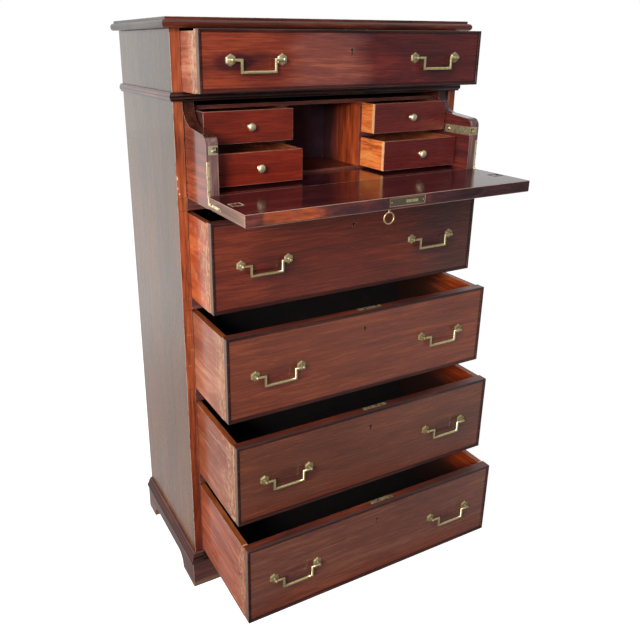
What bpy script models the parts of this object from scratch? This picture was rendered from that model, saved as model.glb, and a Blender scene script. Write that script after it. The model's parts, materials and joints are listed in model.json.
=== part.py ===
"""A tall mahogany secretaire chest: a carcase on bracket feet with a top drawer above a waist
moulding, a secretaire drawer with a fall front, and four long drawers below.

The chest stands with its front towards -Y. Everything is modelled in the closed chest's frame,
whose zero is the middle of the carcase front at floor level, and each drawer hangs from an empty
that is drawn forward by that drawer's opening.
"""

import math

import bmesh
import bpy
from mathutils import Matrix, Vector

# Clearances
fit_gap = 0.0003
front_gap = 0.0012
cut_overrun = 0.002

# Carcase
body_width = 0.660
body_depth = 0.325
side_thickness = 0.019
back_thickness = 0.008
floor_thickness = 0.020
lower_rail_height = 0.028
middle_rail_height = 0.031
upper_rail_height = 0.025
secretaire_rail_height = 0.0244
waist_rail_height = 0.016
rail_depth = 0.055
dust_panel_thickness = 0.010
long_front_height = 0.176
top_front_height = 0.105
secretaire_opening_height = 0.179

# Top board: a round nose with a fillet set back above it
nose_height = 0.014
nose_depth = 0.006
nose_overhang = 0.0175
top_fillet_height = 0.005
top_fillet_overhang = 0.010

# Waist and base mouldings
waist_overhang = 0.007
waist_fillet_overhang = 0.0045
waist_fillet_height = 0.0025
base_moulding_height = 0.023
base_moulding_overhang = 0.013
base_profile_shares = (
    (1.0, 0.0),
    (1.0, 0.20),
    (0.86, 0.24),
    (0.80, 0.36),
    (0.66, 0.48),
    (0.60, 0.62),
    (0.60, 0.68),
    (0.42, 0.74),
    (0.36, 0.86),
    (0.22, 0.97),
    (0.10, 1.0),
)

# Plinth with bracket feet
plinth_height = 0.066
plinth_thickness = 0.020
plinth_overhang = 0.010
foot_width = 0.072
rear_foot_width = 0.048
foot_lip_height = 0.004
apron_height = 0.033
foot_sweep = 0.030

# Long drawers
front_thickness = 0.0195
bead_projection = 0.0025
bead_width = 0.0045
bead_profile_shares = ((0.0, 0.3), (0.16, 0.82), (0.5, 1.0), (0.84, 0.82), (1.0, 0.3))
drawer_length = 0.300
drawer_side_gap = 0.001
drawer_wall = 0.012
drawer_bottom_thickness = 0.006
drawer_bottom_recess = 0.006
drawer_side_drop = 0.003

# How far each drawer stands open
top_opening = 0.085
secretaire_opening = 0.1243
upper_opening = 0.1117
middle_opening = 0.1675
lower_opening = 0.203
bottom_opening = 0.2432
small_upper_opening = 0.046
small_lower_opening = 0.085

# Bail handles and keyholes, which sit a little to the left of the middle
hardware_centre = -0.0037
handle_spread_share = 0.6391
handle_rise = 0.002
post_spacing = 0.100
rose_radius = 0.0107
rose_thickness = 0.0034
rose_edge = 0.0016
rose_top_radius = 0.0084
post_radius = 0.0028
post_reach = 0.0105
post_ball_radius = 0.0037
bore_radius = 0.0021
stub_radius = 0.0018
stub_insertion = 0.0022
bail_leg_spacing = 0.066
bail_drop = 0.0203
bail_radius = 0.0025
bail_grip_radius = 0.0029
keyhole_drop = 0.035
keyhole_radius = 0.0026
keyhole_slot_width = 0.0024
keyhole_slot_length = 0.0095
keyhole_depth = 0.010

# Secretaire drawer
arm_thickness = 0.0225
arm_front_height = 0.089
arm_round_radius = 0.017
arm_ramp_rise = 0.005
arm_sweep_end = 0.110
arm_length = 0.280
bed_thickness = 0.0225
secretaire_back_thickness = 0.010
nest_setback = 0.124
nest_floor = 0.0045
nest_wall = 0.004
nest_partition = 0.0055
nest_shelf = 0.010
nest_top = 0.007
pigeonhole_width = 0.180
pigeonhole_round = 0.012
nest_back_gap = 0.001

# Small drawers and their knobs
small_drawer_height = 0.0604
small_drawer_length = 0.138
small_side_gap = 0.0006
small_front_thickness = 0.010
small_wall = 0.006
small_bottom = 0.004
knob_radius = 0.008
knob_reach = 0.0155
knob_profile_shares = (
    (0.56, 0.0),
    (0.56, 0.07),
    (0.40, 0.14),
    (0.30, 0.34),
    (0.36, 0.46),
    (0.82, 0.56),
    (1.0, 0.68),
    (0.94, 0.80),
    (0.66, 0.93),
    (0.34, 1.0),
)

# Fall front
fall_thickness = 0.020
fall_length = 0.1546

# Fall hinges: a strip on the arm's front edge, and a strip let into the end of the fall
hinge_strip_width = 0.005
hinge_strip_length = 0.060
hinge_plate_thickness = 0.0015
hinge_eye_radius = 0.003
hinge_pin_radius = 0.0012
hinge_arm_width = 0.005
hinge_arm_depth = 0.0155
hinge_end_strip_height = 0.005
hinge_end_strip_length = 0.057

# Spring catches in the arms
catch_height = 0.080
catch_plate_thickness = 0.0015
catch_plate_length = 0.079
catch_plate_height = 0.0165
catch_face_width = 0.0185
catch_bolt_side = 0.006
catch_bolt_inset = 0.008
catch_bolt_nose = 0.004
catch_bolt_length = 0.078
catch_travel = 0.006
catch_button_radius = 0.003
catch_button_setback = 0.068
catch_button_reach = 0.004
striker_depth = 0.006
striker_play = 0.0015

# Fall lock and key
lock_centre = 0.0107
lock_plate_length = 0.077
lock_plate_height = 0.013
lock_plate_thickness = 0.002
lock_case_length = 0.074
lock_case_depth = 0.026
lock_case_height = 0.0112
lock_wall = 0.0015
lock_bolt_length = 0.026
lock_bolt_offset = 0.010
lock_bolt_height = 0.005
lock_bolt_travel = 0.005
lock_tail_depth = 0.0045
lock_tail_play = 0.0007
key_offset = 0.0283
key_setback = 0.0152
key_hole_radius = 0.003
key_shank_radius = 0.0019
key_shank_length = 0.024
key_bow_radius = 0.0107
key_bow_thickness = 0.0014
key_bit_reach = 0.0065
key_bit_height = 0.005
key_bit_thickness = 0.002

# Counts
round_steps = 8
rod_sides = 8
turned_sides = 14
rose_sides = 12
bow_steps = 20

# Derived levels of the carcase, from the floor up
half_body = body_width / 2
half_opening = half_body - side_thickness
carcase_bottom = plinth_height + fit_gap
floor_top = plinth_height + base_moulding_height
long_opening_height = long_front_height + 2 * front_gap
bottom_level = floor_top
lower_level = bottom_level + long_opening_height + lower_rail_height
middle_level = lower_level + long_opening_height + middle_rail_height
upper_level = middle_level + long_opening_height + upper_rail_height
secretaire_level = upper_level + long_opening_height + secretaire_rail_height
waist_level = secretaire_level + secretaire_opening_height
top_level = waist_level + waist_rail_height
top_opening_height = top_front_height + 2 * front_gap
top_underside = top_level + top_opening_height + fit_gap
back_face = body_depth - back_thickness

# Derived values of the secretaire drawer, whose arms start behind the closed fall
half_drawer = half_opening - drawer_side_gap
half_front = half_opening - front_gap
handle_spread = handle_spread_share * 2 * half_front
arm_front = fall_thickness
arm_bottom = secretaire_level + fit_gap
bed_top = arm_bottom + bed_thickness
arm_inner = half_drawer - arm_thickness
nest_front = arm_front + nest_setback
secretaire_rear = arm_front + arm_length
back_front = secretaire_rear - secretaire_back_thickness
nest_bottom = bed_top + fit_gap
compartment_height = small_drawer_height + fit_gap + front_gap
lower_compartment = nest_bottom + nest_floor
upper_compartment = lower_compartment + compartment_height + nest_shelf
nest_ceiling = upper_compartment + compartment_height
compartment_inner = pigeonhole_width / 2 + nest_partition
compartment_outer = arm_inner - fit_gap - nest_wall
hinge_y = arm_front - fit_gap
catch_level = bed_top + catch_height

# The chest's zero goes under the middle of its box, so the frame moves back by this much
handle_reach = post_reach + post_ball_radius
front_reach = max(
    secretaire_opening - hinge_y + fall_length,
    top_opening + handle_reach,
    upper_opening + handle_reach,
    middle_opening + handle_reach,
    lower_opening + handle_reach,
    bottom_opening + handle_reach,
)
origin_shift = (front_reach - body_depth) / 2


def clear_scene():
    for obj in list(bpy.data.objects):
        bpy.data.objects.remove(obj, do_unlink=True)


def finish(name, colour, roughness, metallic=0.0):
    material = bpy.data.materials.new(name)
    material.use_nodes = True
    shader = material.node_tree.nodes["Principled BSDF"]
    shader.inputs["Base Color"].default_value = (*colour, 1.0)
    shader.inputs["Roughness"].default_value = roughness
    shader.inputs["Metallic"].default_value = metallic
    return material


def wood(name, kind):
    colours = {
        "case": ((0.10, 0.030, 0.022), 0.32),
        "front": ((0.17, 0.030, 0.020), 0.28),
        "lining": ((0.36, 0.11, 0.05), 0.50),
        "small_lining": ((0.48, 0.15, 0.04), 0.45),
        "bare": ((0.23, 0.10, 0.055), 0.70),
    }
    colour, roughness = colours[kind]
    return finish(f"{name} {kind} mahogany", colour, roughness)


def brass(name):
    return finish(f"{name} aged brass", (0.52, 0.42, 0.20), 0.34, 1.0)


def empty(name, parent, location):
    holder = bpy.data.objects.new(name, None)
    bpy.context.scene.collection.objects.link(holder)
    holder.parent = parent
    holder.location = location
    return holder


def mesh_object(name, points, faces, parent, material=None, smooth=False):
    mesh = bpy.data.meshes.new(name)
    mesh.from_pydata([tuple(point) for point in points], [], faces)
    shape = bmesh.new()
    shape.from_mesh(mesh)
    bmesh.ops.recalc_face_normals(shape, faces=shape.faces)
    shape.to_mesh(mesh)
    shape.free()
    if smooth:
        mesh.shade_smooth()
        mesh.set_sharp_from_angle(angle=math.radians(35))
    obj = bpy.data.objects.new(name, mesh)
    bpy.context.scene.collection.objects.link(obj)
    obj.parent = parent
    if material:
        mesh.materials.append(material)
    return obj


def tube_faces(rings, count, closed=False):
    """Quads between rings of `count` points, with a face over each end unless the run is closed."""
    faces = []
    for ring in range(rings if closed else rings - 1):
        here = ring * count
        there = (ring + 1) % rings * count
        for side in range(count):
            after = (side + 1) % count
            faces.append((here + side, here + after, there + after, there + side))
    if not closed:
        faces.append(tuple(range(count)))
        faces.append(tuple(range((rings - 1) * count, rings * count)))
    return faces


def loft(name, rings, parent, material=None, smooth=False, closed=False):
    points = [point for ring in rings for point in ring]
    faces = tube_faces(len(rings), len(rings[0]), closed)
    return mesh_object(name, points, faces, parent, material, smooth)


def prism(name, outline, axis, start, end, parent, material=None, smooth=False):
    """An outline pushed along an axis. The outline holds the two other coordinates, in order."""
    def ring(along):
        found = []
        for first, second in outline:
            point = [first, second]
            point.insert("xyz".index(axis), along)
            found.append(point)
        return found
    return loft(name, [ring(start), ring(end)], parent, material, smooth)


def block(name, low, high, parent, material=None):
    outline = [(low[1], low[2]), (high[1], low[2]), (high[1], high[2]), (low[1], high[2])]
    return prism(name, outline, "x", low[0], high[0], parent, material)


def helper(obj):
    obj.hide_render = True
    obj.display_type = "WIRE"
    return obj


def combine(target, other, operation):
    modifier = target.modifiers.new(other.name, "BOOLEAN")
    modifier.operation = operation
    modifier.solver = "EXACT"
    modifier.object = helper(other)


def cut(target, *cutters):
    for cutter in cutters:
        combine(target, cutter, "DIFFERENCE")


def weld(target, *additions):
    for addition in additions:
        combine(target, addition, "UNION")


def arc(centre, radius, start, end, steps=round_steps):
    """Points on a circle from one angle to another, in degrees."""
    found = []
    for step in range(steps + 1):
        angle = math.radians(start + (end - start) * step / steps)
        found.append((centre[0] + radius * math.cos(angle), centre[1] + radius * math.sin(angle)))
    return found


def turned(name, profile, sides, parent, material=None):
    """A solid turned about the Y axis: the profile gives (radius, distance out towards -Y)."""
    rings = []
    for radius, out in profile:
        ring = []
        for side in range(sides):
            angle = math.tau * side / sides
            ring.append((radius * math.cos(angle), -out, radius * math.sin(angle)))
        rings.append(ring)
    return loft(name, rings, parent, material, smooth=True)


def rectangle(half_width, low, high, inset, depth):
    left = -half_width + inset
    right = half_width - inset
    return [
        (left, depth, low + inset),
        (right, depth, low + inset),
        (right, depth, high - inset),
        (left, depth, high - inset),
    ]


def build_sides(root):
    for label, side in (("left", -1), ("right", 1)):
        name = f"{label}_side_panel"
        inner = side * half_opening
        outer = side * half_body
        block(
            name,
            (min(inner, outer), 0, carcase_bottom),
            (max(inner, outer), body_depth, top_underside - fit_gap),
            root,
            wood(name, "case"),
        )


def build_back(root):
    half = half_opening - fit_gap
    block(
        "back_panel",
        (-half, back_face, carcase_bottom),
        (half, body_depth, top_underside - fit_gap),
        root,
        wood("back_panel", "bare"),
    )


def build_floor(root):
    half = half_opening - fit_gap
    block(
        "carcase_floor",
        (-half, 0, floor_top - floor_thickness),
        (half, back_face - fit_gap, floor_top),
        root,
        wood("carcase_floor", "bare"),
    )


def build_dustboard(name, top, height, root):
    """A front rail with the dust panel that the drawer above runs on."""
    half = half_opening - fit_gap
    rear = back_face - fit_gap
    outline = [
        (0, top - height),
        (rail_depth, top - height),
        (rail_depth, top - dust_panel_thickness),
        (rear, top - dust_panel_thickness),
        (rear, top),
        (0, top),
    ]
    return prism(name, outline, "x", -half, half, root, wood(name, "case"))


def build_dustboards(root):
    build_dustboard("lower_dustboard", lower_level, lower_rail_height, root)
    build_dustboard("middle_dustboard", middle_level, middle_rail_height, root)
    build_dustboard("upper_dustboard", upper_level, upper_rail_height, root)
    build_dustboard("secretaire_dustboard", secretaire_level, secretaire_rail_height, root)
    waist = build_dustboard("waist_dustboard", top_level, waist_rail_height, root)
    mortise = block(
        "lock_mortise",
        (lock_centre - lock_bolt_length, -cut_overrun, waist_level - cut_overrun),
        (
            lock_centre + lock_bolt_length,
            fall_thickness,
            waist_level + lock_bolt_travel + front_gap,
        ),
        root,
    )
    cut(waist, mortise)


def build_top(root):
    levels = []
    nose_middle = nose_overhang - nose_depth
    for out, rise in arc((0, 0), 1, -90, 90):
        levels.append((nose_middle + nose_depth * out, nose_height * (1 + rise) / 2))
    levels.append((top_fillet_overhang, nose_height))
    levels.append((top_fillet_overhang, nose_height + top_fillet_height))
    rings = []
    for overhang, height in levels:
        half = half_body + overhang
        level = top_underside + height
        rings.append(
            [
                (-half, body_depth, level),
                (-half, -overhang, level),
                (half, -overhang, level),
                (half, body_depth, level),
            ]
        )
    loft("top_board", rings, root, wood("top_board", "case"), smooth=True)


def moulding_run(name, profile, root):
    """A moulding mitred round the left side, the front and the right side."""
    half = half_body + fit_gap
    rings = [[], [], [], []]
    for out, level in profile:
        rings[0].append((-half - out, body_depth, level))
        rings[1].append((-half - out, -fit_gap - out, level))
        rings[2].append((half + out, -fit_gap - out, level))
        rings[3].append((half + out, body_depth, level))
    return loft(name, rings, root, wood(name, "case"), smooth=True)


def build_waist_moulding(root):
    profile = [(0, waist_level), (waist_fillet_overhang, waist_level)]
    radius = waist_rail_height / 2 - waist_fillet_height
    middle = waist_level + waist_rail_height / 2
    for out, rise in arc((0, 0), 1, -90, 90):
        swell = (waist_overhang - waist_fillet_overhang) * out
        profile.append((waist_fillet_overhang + swell, middle + radius * rise))
    profile.append((waist_fillet_overhang, top_level))
    profile.append((0, top_level))
    moulding_run("waist_moulding", profile, root)


def build_base_moulding(root):
    bottom = plinth_height + fit_gap
    height = floor_top - bottom
    profile = [(0, bottom)]
    for out_share, height_share in base_profile_shares:
        profile.append((out_share * base_moulding_overhang, bottom + height_share * height))
    profile.append((0, floor_top))
    moulding_run("base_moulding", profile, root)


def bracket_outline(start, end, first_foot, last_foot):
    """The elevation of a plinth board: a foot at each end and a raised apron between them."""
    rise = apron_height - foot_lip_height
    outline = [(start, plinth_height), (start, 0), (start + first_foot, 0)]
    for run, lift in arc((0, 0), 1, 180, 90):
        outline.append(
            (start + first_foot + foot_sweep * (1 + run), foot_lip_height + rise * lift)
        )
    for run, lift in arc((0, 0), 1, 90, 0):
        outline.append((end - last_foot - foot_sweep * (1 - run), foot_lip_height + rise * lift))
    outline.append((end - last_foot, 0))
    outline.append((end, 0))
    outline.append((end, plinth_height))
    return outline


def build_plinth(root):
    half = half_body + plinth_overhang
    inner_drop = plinth_thickness
    front = bracket_outline(-half + fit_gap, half - fit_gap, foot_width, foot_width)
    outer_ring = [(x, -plinth_overhang, z) for x, z in front]
    inner_ring = []
    for x, z in front:
        limit = half - fit_gap - inner_drop
        inner_ring.append((max(-limit, min(limit, x)), plinth_thickness - plinth_overhang, z))
    loft("front_plinth", [outer_ring, inner_ring], root, wood("front_plinth", "case"))
    side_start = -plinth_overhang + fit_gap
    side_outline = bracket_outline(side_start, body_depth, foot_width, rear_foot_width)
    for label, side in (("left", -1), ("right", 1)):
        outer_ring = [(side * half, y, z) for y, z in side_outline]
        inner_ring = []
        for y, z in side_outline:
            inner_y = max(side_start + inner_drop, y)
            inner_ring.append((side * (half - plinth_thickness), inner_y, z))
        name = f"{label}_plinth"
        loft(name, [outer_ring, inner_ring], root, wood(name, "case"))


def beaded_board(name, half_width, low, high, thickness, parent):
    """A board with a rounded bead standing proud round the edge of its front face."""
    rings = [rectangle(half_width, low, high, 0, thickness)]
    for inset_share, reach_share in bead_profile_shares:
        rings.append(
            rectangle(
                half_width,
                low,
                high,
                inset_share * bead_width,
                -reach_share * bead_projection,
            )
        )
    rings.append(rectangle(half_width, low, high, bead_width, 0))
    return loft(name, rings, parent, wood(name, "front"), smooth=True)


def handle_post(name, x, level, parent):
    """A six-sided rose with its post and ball, as one turned and filed casting."""
    def ring(radius, out, hexagonal):
        found = []
        for side in range(rose_sides):
            reach = radius
            if hexagonal and side % 2:
                reach = radius * math.cos(math.pi / 6)
            angle = math.tau * side / rose_sides + math.pi / 2
            found.append((x + reach * math.cos(angle), -out, level + reach * math.sin(angle)))
        return found
    rings = [
        ring(rose_radius, -cut_overrun, True),
        ring(rose_radius, rose_edge, True),
        ring(rose_top_radius, rose_thickness, True),
        ring(post_radius, rose_thickness, False),
    ]
    for rise in range(-50, 90, 28):
        angle = math.radians(rise)
        rings.append(
            ring(
                post_ball_radius * math.cos(angle),
                post_reach + post_ball_radius * math.sin(angle),
                False,
            )
        )
    return loft(name, rings, parent)


def rod(name, stations, parent, material):
    """A round rod along points in the XZ plane, mitred at its corners: (point, radius) pairs."""
    rings = []
    for index, (point, radius) in enumerate(stations):
        here = Vector(point)
        before = Vector(stations[max(index - 1, 0)][0])
        after = Vector(stations[min(index + 1, len(stations) - 1)][0])
        into = (here - before).normalized() if (here - before).length else None
        out_of = (after - here).normalized() if (after - here).length else None
        into = into or out_of
        out_of = out_of or into
        plane = (into + out_of).normalized()
        across = into.cross(Vector((0, 1, 0)))
        ring = []
        for side in range(rod_sides):
            angle = math.tau * (side + 0.5) / rod_sides
            spoke = radius * (math.cos(angle) * across + math.sin(angle) * Vector((0, 1, 0)))
            ring.append(here + spoke - into * spoke.dot(plane) / into.dot(plane))
        rings.append(ring)
    return loft(name, rings, parent, material, smooth=True)


def build_bail(name, x, level, drawer):
    """A square-cornered bail, whose stubs turn in the balls of its two posts."""
    pivot = empty(f"{name}_pivot", drawer, (x, -post_reach, level))
    ball_face = post_spacing / 2 - math.sqrt(post_ball_radius**2 - stub_radius**2) - fit_gap
    stub_end = post_spacing / 2 - post_ball_radius + stub_insertion
    leg = bail_leg_spacing / 2
    grip = leg / 2
    half = [
        ((-stub_end, 0, 0), stub_radius),
        ((-ball_face, 0, 0), stub_radius),
        ((-ball_face + bail_radius / 2, 0, 0), bail_radius),
        ((-leg, 0, 0), bail_radius),
        ((-leg, 0, -bail_drop), bail_radius),
        ((-grip, 0, -bail_drop), bail_grip_radius),
    ]
    other_half = [((-point[0], point[1], point[2]), radius) for point, radius in reversed(half)]
    rod(name, half + other_half, pivot, brass(name))


def build_drawer_box(name, level, height, drawer):
    """Two sides, a back and a raised bottom, open towards the drawer front and above."""
    bottom = level + fit_gap
    top = level + front_gap + height - drawer_side_drop
    front = front_thickness + fit_gap
    inner = half_drawer - drawer_wall
    box = block(
        name,
        (-half_drawer, front, bottom),
        (half_drawer, drawer_length, top),
        drawer,
        wood(name, "lining"),
    )
    cavity_floor = bottom + drawer_bottom_recess + drawer_bottom_thickness
    cavity = block(
        f"{name}_cavity",
        (-inner, front - cut_overrun, cavity_floor),
        (inner, drawer_length - drawer_wall, top + cut_overrun),
        drawer,
    )
    recess = block(
        f"{name}_recess",
        (-inner, front - cut_overrun, bottom - cut_overrun),
        (inner, drawer_length - drawer_wall, bottom + drawer_bottom_recess),
        drawer,
    )
    cut(box, cavity, recess)


def keyhole_cutter(name, top, drawer):
    """A round head over a narrow slot, sunk into the front board."""
    head = top - keyhole_drop
    half_slot = keyhole_slot_width / 2
    rounding = math.degrees(math.asin(half_slot / keyhole_radius))
    outline = [
        (hardware_centre + across, head + rise)
        for across, rise in arc((0, 0), keyhole_radius, rounding - 90, 270 - rounding, 10)
    ]
    outline.append((hardware_centre - half_slot, head - keyhole_slot_length))
    outline.append((hardware_centre + half_slot, head - keyhole_slot_length))
    return prism(f"{name}_keyhole", outline, "y", -cut_overrun, keyhole_depth, drawer)


def build_long_drawer(name, level, height, opening, root):
    drawer = empty(f"{name}_slide", root, (0, -opening, 0))
    low = level + front_gap
    front = beaded_board(f"{name}_front", half_front, low, low + height, front_thickness, drawer)
    front.data.materials[0].name = f"{name}_front polished mahogany"
    handle_level = low + height / 2 + handle_rise
    build_drawer_box(f"{name}_box", level, height, drawer)
    for label, side in (("left", -1), ("right", 1)):
        middle = hardware_centre + side * handle_spread / 2
        for number, offset in ((1, -post_spacing / 2), (2, post_spacing / 2)):
            post = handle_post(
                f"{name}_{label}_post_{number}", middle + offset, handle_level, drawer
            )
            weld(front, post)
        bore_outline = [
            (out - post_reach, rise + handle_level)
            for out, rise in arc((0, 0), bore_radius, 0, 315, 7)
        ]
        bore_half = post_spacing / 2 - post_ball_radius + stub_insertion + fit_gap
        bore = prism(
            f"{name}_{label}_bore",
            bore_outline,
            "x",
            middle - bore_half,
            middle + bore_half,
            drawer,
        )
        cut(front, bore)
        build_bail(f"{name}_{label}_bail", middle, handle_level, drawer)
    cut(front, keyhole_cutter(name, low + height, drawer))


def arm_outline():
    """The side of the secretaire drawer, swept down in an ogee from the nest to its front."""
    top = waist_level - front_gap
    ramp_start = bed_top + arm_front_height + arm_round_radius
    ramp_end = ramp_start + arm_ramp_rise
    sweep_radius = top - ramp_end
    sweep_start = arm_front + arm_sweep_end - sweep_radius
    outline = [(secretaire_rear, arm_bottom), (secretaire_rear, top)]
    outline += arc((sweep_start, top), sweep_radius, 0, -90)
    outline += arc(
        (arm_front + arm_round_radius, ramp_start - arm_round_radius),
        arm_round_radius,
        90,
        180,
    )
    outline.append((arm_front, arm_bottom))
    return outline


def mirrored(side, low, high):
    """The corners of a block given for the right side, put on the left or the right."""
    x_values = sorted((side * low[0], side * high[0]))
    return (x_values[0], low[1], low[2]), (x_values[1], high[1], high[2])


def build_arm(label, side, secretaire):
    name = f"{label}_secretaire_arm"
    x_values = sorted((side * arm_inner, side * half_drawer))
    arm = prism(name, arm_outline(), "x", *x_values, secretaire, wood(name, "front"))
    hinge_depth = hinge_plate_thickness + fit_gap
    strip_seat = block(
        f"{name}_hinge_seat",
        *mirrored(
            side,
            (
                half_drawer - hinge_strip_width - fit_gap,
                arm_front - cut_overrun,
                bed_top - hinge_eye_radius - fit_gap,
            ),
            (
                half_drawer + cut_overrun,
                arm_front + hinge_depth,
                bed_top + hinge_strip_length + fit_gap,
            ),
        ),
        secretaire,
    )
    eye_seat = block(
        f"{name}_eye_seat",
        *mirrored(
            side,
            (
                half_drawer - hinge_plate_thickness - 2 * fit_gap,
                arm_front - cut_overrun,
                bed_top - hinge_eye_radius - fit_gap,
            ),
            (
                half_drawer + cut_overrun,
                arm_front + hinge_eye_radius + fit_gap,
                bed_top + hinge_eye_radius + fit_gap,
            ),
        ),
        secretaire,
    )
    plate_depth = catch_plate_thickness + fit_gap
    half_plate = catch_plate_height / 2 + fit_gap
    plate_seat = block(
        f"{name}_plate_seat",
        *mirrored(
            side,
            (arm_inner - cut_overrun, arm_front - cut_overrun, catch_level - half_plate),
            (
                arm_inner + plate_depth,
                arm_front + catch_plate_length + fit_gap,
                catch_level + half_plate,
            ),
        ),
        secretaire,
    )
    face_seat = block(
        f"{name}_face_seat",
        *mirrored(
            side,
            (arm_inner - cut_overrun, arm_front - cut_overrun, catch_level - half_plate),
            (
                arm_inner + catch_face_width + fit_gap,
                arm_front + plate_depth,
                catch_level + half_plate,
            ),
        ),
        secretaire,
    )
    groove_half = catch_bolt_side / 2 + fit_gap
    bolt_rear = catch_bolt_length - catch_bolt_nose + catch_travel + front_gap
    groove = block(
        f"{name}_bolt_groove",
        *mirrored(
            side,
            (arm_inner - cut_overrun, arm_front - cut_overrun, catch_level - groove_half),
            (
                arm_inner + catch_bolt_inset + groove_half,
                arm_front + bolt_rear,
                catch_level + groove_half,
            ),
        ),
        secretaire,
    )
    cut(arm, strip_seat, eye_seat, plate_seat, face_seat, groove)


def build_hinge(label, side, secretaire, fall):
    """The fixed strip with its pin on the arm, and the strip with its eye on the fall."""
    name = f"{label}_hinge_arm_strip"
    metal = brass(name)
    top = bed_top + hinge_strip_length
    eye_room = half_drawer - hinge_plate_thickness - fit_gap
    strip = block(
        name,
        *mirrored(
            side,
            (
                half_drawer - hinge_strip_width,
                arm_front,
                bed_top + hinge_eye_radius + fit_gap,
            ),
            (half_drawer, arm_front + hinge_plate_thickness, top),
        ),
        secretaire,
        metal,
    )
    foot = block(
        f"{name}_foot",
        *mirrored(
            side,
            (half_drawer - hinge_strip_width, arm_front, bed_top - hinge_eye_radius),
            (
                eye_room - fit_gap,
                arm_front + hinge_plate_thickness,
                bed_top + hinge_eye_radius + cut_overrun,
            ),
        ),
        secretaire,
    )
    pin_outline = arc((hinge_y, bed_top), hinge_pin_radius, 0, 315, 7)
    pin_x = sorted((side * (half_drawer - hinge_strip_width), side * half_drawer))
    pin = prism(f"{name}_pin", pin_outline, "x", *pin_x, secretaire)
    weld(strip, foot, pin)
    name = f"{label}_hinge_fall_strip"
    strip_low = -hinge_arm_depth
    strip_high = strip_low + hinge_end_strip_height
    outline = [
        (-hinge_end_strip_length, strip_high),
        (-hinge_end_strip_length, strip_low),
        (-hinge_pin_radius, strip_low),
        (-hinge_pin_radius, -hinge_pin_radius),
        (-hinge_pin_radius - hinge_arm_width, -hinge_pin_radius),
        (-hinge_pin_radius - hinge_arm_width, strip_high),
    ]
    x_values = sorted((side * (half_drawer - hinge_plate_thickness), side * half_drawer))
    leaf = prism(name, outline, "x", *x_values, fall, brass(name))
    eye = prism(
        f"{name}_eye", arc((0, 0), hinge_eye_radius, 0, 337.5, 15), "x", *x_values, fall
    )
    hole_x = sorted(
        (
            side * (half_drawer - hinge_plate_thickness - cut_overrun),
            side * (half_drawer + cut_overrun),
        )
    )
    hole = prism(
        f"{name}_hole",
        arc((0, 0), hinge_pin_radius + fit_gap, 0, 315, 7),
        "x",
        *hole_x,
        fall,
    )
    weld(leaf, eye)
    cut(leaf, hole)


def build_catch(label, side, secretaire):
    """The catch plate round the arm's inner front corner, and the sprung bolt behind it."""
    name = f"{label}_catch_plate"
    half_plate = catch_plate_height / 2
    plate = block(
        name,
        *mirrored(
            side,
            (arm_inner, arm_front, catch_level - half_plate),
            (
                arm_inner + catch_plate_thickness,
                arm_front + catch_plate_length,
                catch_level + half_plate,
            ),
        ),
        secretaire,
        brass(name),
    )
    face = block(
        f"{name}_face",
        *mirrored(
            side,
            (arm_inner, arm_front, catch_level - half_plate),
            (
                arm_inner + catch_face_width,
                arm_front + catch_plate_thickness,
                catch_level + half_plate,
            ),
        ),
        secretaire,
    )
    weld(plate, face)
    bolt_half = catch_bolt_side / 2
    bolt_middle = arm_inner + catch_bolt_inset
    hole_half = bolt_half + fit_gap
    hole = block(
        f"{name}_bolt_hole",
        *mirrored(
            side,
            (bolt_middle - hole_half, arm_front - cut_overrun, catch_level - hole_half),
            (
                bolt_middle + hole_half,
                arm_front + catch_plate_thickness + cut_overrun,
                catch_level + hole_half,
            ),
        ),
        secretaire,
    )
    button_y = arm_front + catch_button_setback
    slot_half = catch_button_radius + fit_gap
    slot = block(
        f"{name}_button_slot",
        *mirrored(
            side,
            (arm_inner - cut_overrun, button_y - slot_half, catch_level - slot_half),
            (
                arm_inner + catch_plate_thickness + cut_overrun,
                button_y + catch_travel + slot_half,
                catch_level + slot_half,
            ),
        ),
        secretaire,
    )
    cut(plate, hole, slot)
    build_catch_bolt(label, side, secretaire)


def build_catch_bolt(label, side, secretaire):
    name = f"{label}_catch_bolt"
    slide = empty(f"{name}_slide", secretaire, (0, 0, 0))
    half = catch_bolt_side / 2
    middle = arm_inner + catch_bolt_inset
    nose = arm_front - catch_bolt_nose
    outline = [
        (nose, catch_level - half),
        (nose + catch_bolt_length, catch_level - half),
        (nose + catch_bolt_length, catch_level + half),
        (nose + catch_bolt_nose, catch_level + half),
        (nose, catch_level),
    ]
    x_values = sorted((side * (middle - half), side * (middle + half)))
    bolt = prism(name, outline, "x", *x_values, slide, brass(name))
    button_y = arm_front + catch_button_setback
    button_x = sorted((side * (arm_inner - catch_button_reach), side * middle))
    button = prism(
        f"{name}_button",
        arc((button_y, catch_level), catch_button_radius, 0, 330, 11),
        "x",
        *button_x,
        slide,
    )
    weld(bolt, button)


def build_bed(secretaire):
    half = arm_inner - fit_gap
    block(
        "writing_bed",
        (-half, arm_front, arm_bottom),
        (half, secretaire_rear, bed_top),
        secretaire,
        wood("writing_bed", "front"),
    )
    block(
        "secretaire_back",
        (-half, back_front, nest_bottom),
        (half, secretaire_rear, nest_ceiling + nest_top),
        secretaire,
        wood("secretaire_back", "bare"),
    )


def pigeonhole_outline():
    half = pigeonhole_width / 2
    corner = half - pigeonhole_round
    springing = nest_ceiling - pigeonhole_round
    outline = [(-half, lower_compartment), (half, lower_compartment)]
    outline += arc((corner, springing), pigeonhole_round, 0, 90)
    outline += arc((-corner, springing), pigeonhole_round, 90, 180)
    return outline


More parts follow.
